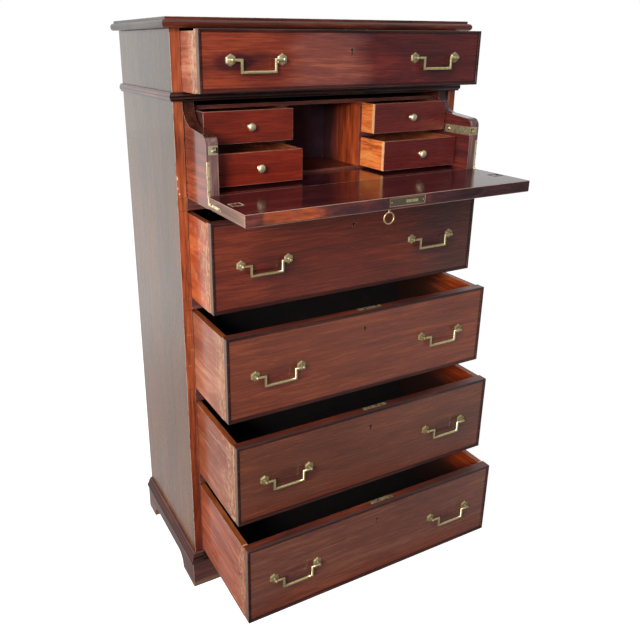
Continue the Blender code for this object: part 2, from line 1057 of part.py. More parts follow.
def build_nest(secretaire):
    """The nest: an open pigeonhole between two tiers of small drawers."""
    half = arm_inner - fit_gap
    rear = back_front - fit_gap
    nest = block(
        "pigeonhole_nest",
        (-half, nest_front, nest_bottom),
        (half, rear, nest_ceiling + nest_top),
        secretaire,
        wood("pigeonhole_nest", "front"),
    )
    openings = [
        prism(
            "pigeonhole_space",
            pigeonhole_outline(),
            "y",
            nest_front - cut_overrun,
            rear + cut_overrun,
            secretaire,
        )
    ]
    for label, side in (("left", -1), ("right", 1)):
        for tier, level in (("lower", lower_compartment), ("upper", upper_compartment)):
            openings.append(
                block(
                    f"{tier}_{label}_compartment",
                    *mirrored(
                        side,
                        (compartment_inner, nest_front - cut_overrun, level),
                        (compartment_outer, rear + cut_overrun, level + compartment_height),
                    ),
                    secretaire,
                )
            )
    cut(nest, *openings)


def build_small_drawer(tier, label, side, level, opening, secretaire):
    name = f"{tier}_{label}_small_drawer"
    slide = empty(f"{name}_slide", secretaire, (0, nest_front - opening, level + fit_gap))
    inner = compartment_inner + small_side_gap
    outer = compartment_outer - small_side_gap
    drawer = block(
        name,
        *mirrored(
            side, (inner, 0, 0), (outer, small_drawer_length, small_drawer_height)
        ),
        slide,
        wood(name, "small_lining"),
    )
    cavity = block(
        f"{name}_cavity",
        *mirrored(
            side,
            (inner + small_wall, small_front_thickness, small_bottom),
            (
                outer - small_wall,
                small_drawer_length - small_wall,
                small_drawer_height + cut_overrun,
            ),
        ),
        slide,
    )
    cut(drawer, cavity)
    build_knob(f"{name}_knob", side * (inner + outer) / 2, slide)


def build_knob(name, x, slide):
    profile = []
    for radius_share, reach_share in knob_profile_shares:
        profile.append((radius_share * knob_radius, reach_share * (knob_reach - fit_gap)))
    knob = turned(name, profile, turned_sides, slide, brass(name))
    knob.location = (x, -fit_gap, small_drawer_height / 2)


def build_small_drawers(secretaire):
    for label, side in (("left", -1), ("right", 1)):
        build_small_drawer(
            "upper", label, side, upper_compartment, small_upper_opening, secretaire
        )
        build_small_drawer(
            "lower", label, side, lower_compartment, small_lower_opening, secretaire
        )


def build_fall(fall):
    """The fall front lies open, with its inner face up and its bead below, hinged behind."""
    rings = []
    levels = [(0, 0), (0, -fall_thickness)]
    for inset_share, reach_share in bead_profile_shares[1:]:
        levels.append(
            (inset_share * bead_width, -fall_thickness - reach_share * bead_projection)
        )
    levels.append((bead_width, -fall_thickness))
    for inset, level in levels:
        half = half_drawer - inset
        rings.append(
            [
                (-half, -fall_length + inset, level),
                (half, -fall_length + inset, level),
                (half, -inset, level),
                (-half, -inset, level),
            ]
        )
    board = loft("fall_front", rings, fall, wood("fall_front", "front"))
    for label, side in (("left", -1), ("right", 1)):
        cut(board, *fall_end_cuts(label, side, fall))
    cut_lock_seat(board, fall)
    return board


def fall_end_cuts(label, side, fall):
    """The notch for the knuckle, the seat of the end strip and the catch bolt's pocket."""
    knuckle_room = hinge_eye_radius + fit_gap
    notch = block(
        f"fall_{label}_knuckle_notch",
        *mirrored(
            side,
            (half_drawer - hinge_strip_width - fit_gap, -knuckle_room, -knuckle_room),
            (half_drawer + cut_overrun, cut_overrun, cut_overrun),
        ),
        fall,
    )
    seat_inner = half_drawer - hinge_plate_thickness - fit_gap
    strip_low = -hinge_arm_depth - fit_gap
    strip_high = -hinge_arm_depth + hinge_end_strip_height + fit_gap
    strip_seat = block(
        f"fall_{label}_strip_seat",
        *mirrored(
            side,
            (seat_inner, -hinge_end_strip_length - fit_gap, strip_low),
            (half_drawer + cut_overrun, cut_overrun, strip_high),
        ),
        fall,
    )
    arm_seat = block(
        f"fall_{label}_arm_seat",
        *mirrored(
            side,
            (seat_inner, -hinge_pin_radius - hinge_arm_width - fit_gap, strip_low),
            (half_drawer + cut_overrun, cut_overrun, cut_overrun),
        ),
        fall,
    )
    pocket_half = catch_bolt_side / 2 + striker_play
    pocket_middle = arm_inner + catch_bolt_inset
    pocket = block(
        f"fall_{label}_striker_pocket",
        *mirrored(
            side,
            (pocket_middle - pocket_half, -catch_height - pocket_half, -striker_depth),
            (pocket_middle + pocket_half, -catch_height + pocket_half, cut_overrun),
        ),
        fall,
    )
    return notch, strip_seat, arm_seat, pocket


def lock_levels():
    """The level of the lock's middle in the thickness of the fall."""
    return -fall_thickness / 2


def cut_lock_seat(board, fall):
    middle = lock_levels()
    edge = -fall_length
    plate_half = lock_plate_length / 2 + fit_gap
    case_half = lock_case_length / 2 + fit_gap
    plate_seat = block(
        "fall_lock_plate_seat",
        (
            lock_centre - plate_half,
            edge - cut_overrun,
            middle - lock_plate_height / 2 - fit_gap,
        ),
        (
            lock_centre + plate_half,
            edge + lock_plate_thickness + fit_gap,
            middle + lock_plate_height / 2 + fit_gap,
        ),
        fall,
    )
    case_seat = block(
        "fall_lock_case_seat",
        (
            lock_centre - case_half,
            edge - cut_overrun,
            middle - lock_case_height / 2 - fit_gap,
        ),
        (
            lock_centre + case_half,
            edge + lock_case_depth + fit_gap,
            middle + lock_case_height / 2 + fit_gap,
        ),
        fall,
    )
    key_hole = prism(
        "fall_key_hole",
        arc((lock_centre - key_offset, edge + key_setback), key_hole_radius, 0, 330, 11),
        "z",
        -fall_thickness - cut_overrun,
        middle,
        fall,
    )
    bit_slot = key_bit_slot("fall_key_slot", -fall_thickness - cut_overrun, middle, fall)
    cut(board, plate_seat, case_seat, key_hole, bit_slot)


def key_bit_slot(name, low, high, fall):
    """The slot beside the keyhole's round, through which the bit goes in and out."""
    key_x = lock_centre - key_offset
    key_y = -fall_length + key_setback
    half_slot = key_bit_thickness / 2 + fit_gap
    return block(
        name,
        (key_x - key_bit_reach - fit_gap, key_y - half_slot, low),
        (key_x, key_y + half_slot, high),
        fall,
    )


def build_lock(fall):
    """The lock case with its selvedge plate, the bolt in it, and the key that throws the bolt."""
    middle = lock_levels()
    edge = -fall_length
    half_plate = lock_plate_length / 2
    half_case = lock_case_length / 2
    lock = block(
        "fall_lock",
        (lock_centre - half_plate, edge, middle - lock_plate_height / 2),
        (
            lock_centre + half_plate,
            edge + lock_plate_thickness,
            middle + lock_plate_height / 2,
        ),
        fall,
        brass("fall_lock"),
    )
    case = block(
        "fall_lock_case",
        (lock_centre - half_case, edge + cut_overrun / 2, middle - lock_case_height / 2),
        (lock_centre + half_case, edge + lock_case_depth, middle + lock_case_height / 2),
        fall,
    )
    weld(lock, case)
    inner_half = lock_case_height / 2 - lock_wall
    cavity = block(
        "fall_lock_cavity",
        (
            lock_centre - half_case + lock_wall,
            edge + lock_plate_thickness,
            middle - inner_half,
        ),
        (
            lock_centre + half_case - lock_wall,
            edge + lock_case_depth - lock_wall,
            middle + inner_half,
        ),
        fall,
    )
    bolt_half = lock_bolt_length / 2
    bolt_middle = lock_centre + lock_bolt_offset
    aperture = block(
        "fall_lock_aperture",
        (
            bolt_middle - bolt_half - fit_gap,
            edge - cut_overrun,
            middle - lock_bolt_height / 2 - fit_gap,
        ),
        (
            bolt_middle + bolt_half + fit_gap,
            edge + lock_plate_thickness + cut_overrun,
            middle + lock_bolt_height / 2 + fit_gap,
        ),
        fall,
    )
    key_hole = prism(
        "fall_lock_key_hole",
        arc(
            (lock_centre - key_offset, edge + key_setback),
            key_shank_radius + fit_gap,
            0,
            330,
            11,
        ),
        "z",
        middle - lock_case_height,
        middle,
        fall,
    )
    bit_slot = key_bit_slot(
        "fall_lock_key_slot", middle - lock_case_height, middle - lock_wall, fall
    )
    cut(lock, cavity, aperture, key_hole, bit_slot)
    build_lock_bolt(bolt_middle, fall)
    build_key(fall)


def build_lock_bolt(bolt_middle, fall):
    """The bolt's head fills the plate's aperture, and its tail reaches in front of the key."""
    middle = lock_levels()
    edge = -fall_length
    bolt_half = lock_bolt_length / 2
    key_x = lock_centre - key_offset
    tail_rear = edge + key_setback - key_shank_radius - lock_tail_play
    tail_front = tail_rear - lock_tail_depth
    slide = empty("fall_lock_bolt_slide", fall, (0, 0, 0))
    outline = [
        (key_x - key_bit_thickness / 2, tail_front),
        (bolt_middle - bolt_half, tail_front),
        (bolt_middle - bolt_half, edge + fit_gap),
        (bolt_middle + bolt_half, edge + fit_gap),
        (bolt_middle + bolt_half, tail_rear),
        (key_x - key_bit_thickness / 2, tail_rear),
    ]
    prism(
        "fall_lock_bolt",
        outline,
        "z",
        middle - lock_bolt_height / 2,
        middle + lock_bolt_height / 2,
        slide,
        brass("fall_lock_bolt"),
    )


def build_key(fall):
    """The key hangs from the keyhole in the fall's outer face, its bow below."""
    middle = lock_levels()
    turn = empty(
        "key_turn", fall, (lock_centre - key_offset, -fall_length + key_setback, middle)
    )
    shank_top = key_bit_height / 2
    shank_bottom = shank_top - key_shank_length
    key = prism(
        "key",
        arc((0, 0), key_shank_radius, 0, 330, 11),
        "z",
        shank_bottom,
        shank_top,
        turn,
        brass("key"),
        smooth=True,
    )
    bow_centre = shank_bottom - key_bow_radius + key_bow_thickness / 2
    rings = []
    for step in range(bow_steps):
        angle = math.tau * step / bow_steps
        ring = []
        for side in range(rod_sides):
            spoke = math.tau * side / rod_sides
            reach = key_bow_radius + key_bow_thickness * math.cos(spoke)
            ring.append(
                (
                    reach * math.cos(angle),
                    key_bow_thickness * math.sin(spoke),
                    bow_centre + reach * math.sin(angle),
                )
            )
        rings.append(ring)
    bow = loft("key_bow", rings, turn, smooth=True, closed=True)
    bit = block(
        "key_bit",
        (-key_bit_reach, -key_bit_thickness / 2, shank_top - key_bit_height),
        (0, key_bit_thickness / 2, shank_top - fit_gap),
        turn,
    )
    weld(key, bow, bit)


def build_secretaire(root):
    secretaire = empty("secretaire_slide", root, (0, -secretaire_opening, 0))
    fall = empty("fall_hinge", secretaire, (0, hinge_y, bed_top))
    build_bed(secretaire)
    build_nest(secretaire)
    build_small_drawers(secretaire)
    build_fall(fall)
    build_lock(fall)
    for label, side in (("left", -1), ("right", 1)):
        build_arm(label, side, secretaire)
        build_hinge(label, side, secretaire, fall)
        build_catch(label, side, secretaire)


def build_long_drawers(root):
    build_long_drawer("top_drawer", top_level, top_front_height, top_opening, root)
    build_long_drawer("upper_drawer", upper_level, long_front_height, upper_opening, root)
    build_long_drawer("middle_drawer", middle_level, long_front_height, middle_opening, root)
    build_long_drawer("lower_drawer", lower_level, long_front_height, lower_opening, root)
    build_long_drawer("bottom_drawer", bottom_level, long_front_height, bottom_opening, root)


def build_chest():
    clear_scene()
    root = empty("secretaire_chest", None, (0, origin_shift, 0))
    build_sides(root)
    build_back(root)
    build_floor(root)
    build_dustboards(root)
    build_top(root)
    build_waist_moulding(root)
    build_base_moulding(root)
    build_plinth(root)
    build_long_drawers(root)
    build_secretaire(root)
    bpy.context.view_layer.update()


build_chest()
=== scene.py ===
"""Finishes for a mahogany secretaire chest: polished and bare wood, worn arrises, aged brass."""

import json
import math

import bmesh
import bpy
from bpy.props import FloatProperty, FloatVectorProperty, IntProperty, PointerProperty
from bpy.types import Operator, Panel, PropertyGroup
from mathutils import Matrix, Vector

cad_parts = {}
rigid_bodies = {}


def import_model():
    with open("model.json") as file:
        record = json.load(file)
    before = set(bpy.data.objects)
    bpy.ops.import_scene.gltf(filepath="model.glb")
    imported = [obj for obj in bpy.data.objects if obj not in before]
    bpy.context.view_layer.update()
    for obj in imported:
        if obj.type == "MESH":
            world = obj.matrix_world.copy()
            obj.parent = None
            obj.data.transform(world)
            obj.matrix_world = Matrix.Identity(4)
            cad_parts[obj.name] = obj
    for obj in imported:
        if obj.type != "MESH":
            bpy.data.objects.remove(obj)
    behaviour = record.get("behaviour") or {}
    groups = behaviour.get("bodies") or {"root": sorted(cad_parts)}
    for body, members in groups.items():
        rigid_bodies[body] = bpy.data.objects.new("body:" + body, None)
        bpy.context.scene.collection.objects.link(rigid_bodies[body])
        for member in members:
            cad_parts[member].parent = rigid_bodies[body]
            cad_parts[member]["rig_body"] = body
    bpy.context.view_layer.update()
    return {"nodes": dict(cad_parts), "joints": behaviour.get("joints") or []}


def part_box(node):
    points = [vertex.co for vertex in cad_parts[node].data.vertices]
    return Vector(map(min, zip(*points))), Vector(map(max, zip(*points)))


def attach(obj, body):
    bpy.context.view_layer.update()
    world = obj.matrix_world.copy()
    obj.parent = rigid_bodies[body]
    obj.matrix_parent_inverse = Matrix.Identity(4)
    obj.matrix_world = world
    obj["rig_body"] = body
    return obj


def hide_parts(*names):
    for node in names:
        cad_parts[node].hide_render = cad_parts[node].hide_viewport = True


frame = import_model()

bl_info = {
    "name": "Secretaire Chest Finishes",
    "version": (1, 0, 0),
    "blender": (4, 5, 0),
    "location": "View3D > Sidebar > Chest",
    "description": "Dresses a secretaire chest in mahogany and brass, and lights it",
    "category": "Object",
}

LONG_DRAWERS = ("top_drawer", "upper_drawer", "middle_drawer", "lower_drawer", "bottom_drawer")
SMALL_DRAWERS = (
    "upper_left_small_drawer",
    "upper_right_small_drawer",
    "lower_left_small_drawer",
    "lower_right_small_drawer",
)
SIDES = (("left", -1), ("right", 1))


def colour_property(name, description, default):
    return FloatVectorProperty(
        name=name,
        description=description,
        subtype="COLOR",
        size=3,
        min=0.0,
        max=1.0,
        default=default,
    )


def length_property(name, description, default):
    return FloatProperty(
        name=name,
        description=description,
        unit="LENGTH",
        subtype="DISTANCE",
        min=0.0,
        precision=5,
        default=default,
    )


class MahoganySettings(PropertyGroup):
    """Colours and wear of the mahogany."""

    front_dark: colour_property("Front dark", "Dark bands of the drawer fronts", (0.062, 0.017, 0.012))
    front_middle: colour_property("Front middle", "Ground of the drawer fronts", (0.135, 0.027, 0.014))
    front_light: colour_property("Front light", "Light bands of the drawer fronts", (0.245, 0.054, 0.022))
    case_dark: colour_property("Case dark", "Dark bands of the mouldings", (0.026, 0.008, 0.006))
    case_middle: colour_property("Case middle", "Ground of the mouldings", (0.062, 0.016, 0.010))
    case_light: colour_property("Case light", "Light bands of the mouldings", (0.13, 0.036, 0.019))
    side_dark: colour_property("Side dark", "Dark bands of the outer sides", (0.062, 0.027, 0.007))
    side_middle: colour_property("Side middle", "Ground of the outer sides", (0.092, 0.036, 0.010))
    side_light: colour_property("Side light", "Light bands of the outer sides", (0.135, 0.052, 0.015))
    stile_dark: colour_property("Stile dark", "Dark bands of the front edges", (0.14, 0.024, 0.008))
    stile_middle: colour_property("Stile middle", "Ground of the front edges", (0.30, 0.060, 0.018))
    stile_light: colour_property("Stile light", "Light bands of the front edges", (0.47, 0.12, 0.038))
    lining_dark: colour_property("Lining dark", "Dark bands of the drawer sides", (0.22, 0.042, 0.016))
    lining_middle: colour_property("Lining middle", "Ground of the drawer sides", (0.33, 0.072, 0.030))
    lining_light: colour_property("Lining light", "Light bands of the drawer sides", (0.52, 0.15, 0.070))
    scuff: colour_property("Scuff", "Bare wood where the drawer sides have rubbed", (0.52, 0.34, 0.17))
    # Pale marks along the drawer sides: rub marks, and painted sheen
    streak: colour_property("Streak", "Pale marks along the drawer sides", (0.66, 0.36, 0.26))
    # Painted shade: the insides of the drawers and the case are coloured near black for the shade that
    # they lie in
    shade: colour_property("Inside", "Insides of the drawers and the case", (0.012, 0.005, 0.006))
    worn: colour_property("Worn arris", "Rubbed corners of the boards", (0.40, 0.24, 0.18))
    band_scale: FloatProperty(
        name="Band scale", description="How fine the grain bands are", min=0.1, default=1.0
    )
    pore_depth: FloatProperty(
        name="Pore depth", description="How strongly the pores show", min=0.0, default=0.4
    )
    arris_width: length_property("Arris width", "Width of the rubbed corners", 0.0008)
    arris_wear: FloatProperty(
        name="Arris wear",
        description="How much of each corner is rubbed",
        subtype="FACTOR",
        min=0.0,
        max=1.0,
        default=0.55,
    )


class BrassSettings(PropertyGroup):
    """Colours of the brass, and sizes of the small fittings."""

    bright: colour_property("Bright brass", "Polished by handling", (0.86, 0.76, 0.44))
    tarnished: colour_property("Tarnished brass", "Dull film in the hollows", (0.30, 0.24, 0.11))
    plate_length: length_property("Plate length", "Length of a lock plate", 0.057)
    plate_width: length_property("Plate width", "Width of a lock plate", 0.0095)
    plate_stand: length_property("Plate stand", "How far a plate stands above the wood", 0.0002)
    screw_radius: length_property("Screw radius", "Radius of a screw head", 0.0017)
    screw_slot: length_property("Screw slot", "Width of a screw's slot", 0.0005)
    liner_wall: length_property("Liner wall", "Thickness of a keyhole liner", 0.0005)
    striker_length: length_property("Striker length", "Length of a striker plate", 0.024)
    turning: IntProperty(name="Turning", description="Sides of a turned knob", min=12, default=48)


class StageSettings(PropertyGroup):
    """Camera, lamps and floor."""

    camera_place: FloatVectorProperty(
        name="Camera place",
        description="Where the camera stands",
        subtype="TRANSLATION",
        unit="LENGTH",
        size=3,
        default=(-0.7477, -1.2436, 1.1895),
    )
    camera_turn: FloatVectorProperty(
        name="Camera turn",
        description="How the camera is turned",
        subtype="EULER",
        size=3,
        default=(math.radians(70.342), 0.0, math.radians(-27.6885)),
    )
    lens: FloatProperty(
        name="Lens", description="Focal length", unit="CAMERA", min=1.0, default=38.267
    )
    shift_x: FloatProperty(name="Shift X", description="Sideways camera shift", default=0.0635)
    shift_y: FloatProperty(name="Shift Y", description="Upward camera shift", default=-0.0533)
    key_power: FloatProperty(
        name="Key power", description="Power of the left lamp", unit="POWER", default=48.0
    )
    fill_power: FloatProperty(
        name="Fill power", description="Power of the front lamp", unit="POWER", default=118.0
    )
    room_light: FloatProperty(
        name="Room light", description="Strength of the soft light from all round", default=0.30
    )


def settings():
    """The settings of the wood and of the brass."""
    return bpy.context.scene.chest_wood, bpy.context.scene.chest_brass


# Node helpers


def connect(tree, made, inputs):
    """Link each input of a node to a socket, or set it to a value. Colours are opaque."""
    for key, value in inputs.items():
        socket = made.inputs[key]
        if isinstance(value, bpy.types.NodeSocket):
            tree.links.new(value, socket)
        elif socket.type == "RGBA":
            socket.default_value = (*value[:3], 1.0)
        else:
            socket.default_value = value


def node(tree, kind, inputs=None, **choices):
    """A new node, with its choices made and its inputs linked or set."""
    made = tree.nodes.new(kind)
    for name, value in choices.items():
        setattr(made, name, value)
    connect(tree, made, inputs or {})
    return made


def cleared_tree(owner):
    """The node tree of a material or a world, with nothing in it."""
    owner.use_nodes = True
    owner.node_tree.nodes.clear()
    return owner.node_tree


def new_group(name, kind, inputs, outputs):
    """A new node group, with the node of its inputs and the node of its outputs."""
    group = bpy.data.node_groups.new(name, kind)
    for label, socket, default in inputs:
        item = group.interface.new_socket(name=label, in_out="INPUT", socket_type=socket)
        if default is not None:
            item.default_value = default
    for label, socket in outputs:
        group.interface.new_socket(name=label, in_out="OUTPUT", socket_type=socket)
    return group, group.nodes.new("NodeGroupInput"), group.nodes.new("NodeGroupOutput")


def math_node(tree, operation, first, second=0.0, clamp=False):
    made = node(tree, "ShaderNodeMath", {0: first, 1: second}, operation=operation, use_clamp=clamp)
    return made.outputs[0]


def product(tree, first, second):
    return math_node(tree, "MULTIPLY", first, second)


def total(tree, first, second):
    return math_node(tree, "ADD", first, second)


def difference(tree, first, second):
    return math_node(tree, "SUBTRACT", first, second)


def noise(tree, vector, scales, detail, roughness, distortion=0.0):
    stretched = node(tree, "ShaderNodeMapping", {"Vector": vector, "Scale": scales})
    made = node(
        tree,
        "ShaderNodeTexNoise",
        {
            "Vector": stretched.outputs[0],
            "Scale": 1.0,
            "Detail": detail,
            "Roughness": roughness,
            "Distortion": distortion,
        },
    )
    return made.outputs["Fac"]


def ramp(tree, value, low, high):
    """A smooth step from 0 at low to 1 at high."""
    made = node(
        tree,
        "ShaderNodeMapRange",
        {"Value": value, "From Min": low, "From Max": high},
        interpolation_type="SMOOTHSTEP",
    )
    return made.outputs["Result"]


def mix(tree, factor, first, second, way="MIX"):
    """A colour between two others, or on the way from the first to the product of both."""
    # The colours of this node are its inputs 6 and 7 and its output 2
    inputs = {"Factor": factor, 6: first, 7: second}
    return node(tree, "ShaderNodeMix", inputs, data_type="RGBA", blend_type=way).outputs[2]


def blend(tree, factor, first, second):
    """A number between two others."""
    # The numbers of this node are its inputs 2 and 3 and its output 0
    inputs = {"Factor": factor, 2: first, 3: second}
    return node(tree, "ShaderNodeMix", inputs, data_type="FLOAT").outputs[0]


def scaled(tree, vector, scale):
    made = node(tree, "ShaderNodeVectorMath", {0: vector, "Scale": scale}, operation="SCALE")
    return made.outputs[0]


def past(tree, place, axis, start):
    """How far a place lies past a start on an axis."""
    parts = node(tree, "ShaderNodeSeparateXYZ", {0: place})
    return difference(tree, parts.outputs["xyz".index(axis)], start)


def share_past(tree, place, axis, middle, half):
    """How far a place lies past a middle on an axis, as a share of a half size."""
    return math_node(tree, "DIVIDE", past(tree, place, axis, middle), half)


def ragged_step(tree, place, laid, axis, start, end, scales, reach):
    """A step from 0 to 1 between two places on an axis. Its edge wanders by `reach` times the
    way between them."""
    drift = difference(tree, noise(tree, laid, scales, 3.0, 0.6), 0.5)
    drift = product(tree, drift, abs(end - start) * reach)
    shifted = total(tree, past(tree, place, axis, 0.0), drift)
    return ramp(tree, shifted, start, end)


def bumped(tree, height, strength, distance):
    """A normal that follows a height."""
    inputs = {"Height": height, "Strength": strength, "Distance": distance}
    return node(tree, "ShaderNodeBump", inputs).outputs[0]


# Shared effects


def effect_group(name, colours, numbers, results=()):
    """A new shader group that takes a vector, colours, and numbers with their defaults. It gives
    a colour and the numbers that `results` names."""
    inputs = [("Vector", "NodeSocketVector", None)]
    inputs += [(label, "NodeSocketColor", None) for label in colours]
    inputs += [(label, "NodeSocketFloat", default) for label, default in numbers.items()]
    outputs = [("Color", "NodeSocketColor")]
    outputs += [(label, "NodeSocketFloat") for label in results]
    return new_group(name, "ShaderNodeTree", inputs, outputs)


def grain_group():
    """Banded mahogany, with its grain along the vector's X."""
    name = "Mahogany Grain"
    if name in bpy.data.node_groups:
        return bpy.data.node_groups[name]
    group, entry, out = effect_group(
        name,
        ("Dark", "Middle", "Light"),
        {"Band Scale": 1.0, "Figure": 0.5, "Pore Depth": 0.5},
        ("Roughness", "Height"),
    )
    place = scaled(group, entry.outputs["Vector"], entry.outputs["Band Scale"])
    cloud = noise(group, place, (3.0, 11.0, 11.0), 3.0, 0.55, 1.2)
    bands = noise(group, place, (7.0, 130.0, 130.0), 4.0, 0.6, 0.5)
    fibres = noise(group, place, (22.0, 420.0, 420.0), 2.0, 0.6)
    pores = noise(group, place, (120.0, 1500.0, 1500.0), 1.0, 0.5)
    figure = entry.outputs["Figure"]
    broad = product(group, cloud, figure)
    narrow = product(group, bands, difference(group, 1.0, figure))
    fine = product(group, difference(group, fibres, 0.5), 0.30)
    tone = total(group, total(group, broad, narrow), fine)
    colour = mix(
        group, ramp(group, tone, 0.37, 0.50), entry.outputs["Dark"], entry.outputs["Middle"]
    )
    colour = mix(group, ramp(group, tone, 0.50, 0.63), colour, entry.outputs["Light"])
    pore_mask = ramp(group, pores, 0.60, 0.72)
    pore_tone = product(group, pore_mask, entry.outputs["Pore Depth"])
    colour = mix(group, pore_tone, colour, entry.outputs["Dark"])
    relief = product(group, pore_mask, -0.7)
    relief = total(group, relief, product(group, fibres, 0.5))
    connect(group, out, {"Color": colour, "Roughness": fine, "Height": relief})
    return group


def rub_group():
    """Patches where handling has rubbed a finish pale, with flecks at their edges."""
    name = "Rubbed Patches"
    if name in bpy.data.node_groups:
        return bpy.data.node_groups[name]
    group, entry, out = effect_group(name, ("Color", "Worn"), {"Amount": 0.5, "Size": 60.0})
    place = scaled(group, entry.outputs["Vector"], entry.outputs["Size"])
    broad = noise(group, place, (1.0, 1.0, 1.0), 4.0, 0.65)
    limit = difference(group, 1.0, entry.outputs["Amount"])
    above = difference(group, broad, product(group, limit, 0.9))
    mask = ramp(group, above, -0.02, 0.12)
    colour = mix(group, mask, entry.outputs["Color"], entry.outputs["Worn"])
    connect(group, out, {"Color": colour})
    return group


def slide_wear_and_sheen_group():
    """A drawer side rubbed by sliding: pale streaks along Y, partly rub marks and partly painted sheen,
    and bare scuffs by its front.
    """
    name = "Sliding Wear"
    if name in bpy.data.node_groups:
        return bpy.data.node_groups[name]
    group, entry, out = effect_group(
        name, ("Color", "Scuff", "Streak"), {"Front": 0.0, "Streaks": 0.5, "Scuffs": 0.8}
    )
    place = entry.outputs["Vector"]
    lines = ramp(group, noise(group, place, (20.0, 9.0, 300.0), 3.0, 0.7, 0.3), 0.52, 0.72)
    # Painted sheen: broad patches where the pale streaks show
    sheen = ramp(group, noise(group, place, (6.0, 5.0, 26.0), 2.0, 0.5), 0.36, 0.66)
    streaks = product(group, lines, sheen)
    streaks = product(group, streaks, entry.outputs["Streaks"])
    colour = mix(group, streaks, entry.outputs["Color"], entry.outputs["Streak"])
    along = past(group, place, "y", entry.outputs["Front"])
    ragged = noise(group, place, (60.0, 90.0, 45.0), 4.0, 0.7)
    shift = product(group, difference(group, ragged, 0.5), 0.05)
    near = ramp(group, total(group, along, shift), 0.052, 0.030)
    broken = ramp(group, noise(group, place, (160.0, 230.0, 90.0), 4.0, 0.75), 0.46, 0.60)
    near = product(group, near, broken)
    patches = ramp(group, noise(group, place, (25.0, 40.0, 55.0), 4.0, 0.72), 0.54, 0.68)
    far = product(group, patches, ramp(group, along, 0.16, 0.0))
    scuffs = math_node(group, "MAXIMUM", near, product(group, far, 0.75))
    scuffs = product(group, scuffs, entry.outputs["Scuffs"])
    connect(group, out, {"Color": mix(group, scuffs, colour, entry.outputs["Scuff"])})
    return group


def patina_group():
    """Brass, bright where it is handled and dull elsewhere."""
    name = "Brass Patina"
    if name in bpy.data.node_groups:
        return bpy.data.node_groups[name]
    group, entry, out = effect_group(
        name,
        ("Bright", "Tarnished"),
        {"Tarnish": 0.4, "Fineness": 1.0, "Edge": 0.22},
        ("Roughness", "Metallic", "Height"),
    )
    place = scaled(group, entry.outputs["Vector"], entry.outputs["Fineness"])
    broad = noise(group, place, (130.0, 130.0, 130.0), 3.0, 0.6)
    fine = noise(group, place, (900.0, 900.0, 900.0), 2.0, 0.5)
    level = total(group, broad, product(group, fine, 0.20))
    level = total(group, level, entry.outputs["Tarnish"])
    edge = entry.outputs["Edge"]
    mask = ramp(group, level, difference(group, 1.02, edge), total(group, 1.02, edge))
    connect(
        group,
        out,
        {
            "Color": mix(group, mask, entry.outputs["Bright"], entry.outputs["Tarnished"]),
            "Roughness": product(group, mask, 0.22),
            "Metallic": blend(group, mask, 0.88, 0.60),
            "Height": product(group, fine, 0.5),
        },
    )
    return group


# Materials


# How space is turned so that the grain runs along each axis
GRAIN_TURNS = {"x": (0.0, 0.0, 0.0), "y": (0.0, 0.0, math.pi / 2), "z": (0.0, math.pi / 2, 0.0)}

# How deep a height of 1 is, in the wood and in the brass
PORE_RELIEF = 0.0004
BRASS_RELIEF = 0.0002


def new_material(name):
    """A new material, its node tree, its shader and the place on the object."""
    material = bpy.data.materials.new(name)
    tree = cleared_tree(material)
    shader = node(tree, "ShaderNodeBsdfPrincipled")
    node(tree, "ShaderNodeOutputMaterial", {"Surface": shader.outputs[0]})
    place = node(tree, "ShaderNodeTexCoord").outputs["Object"]
    return material, tree, shader, place


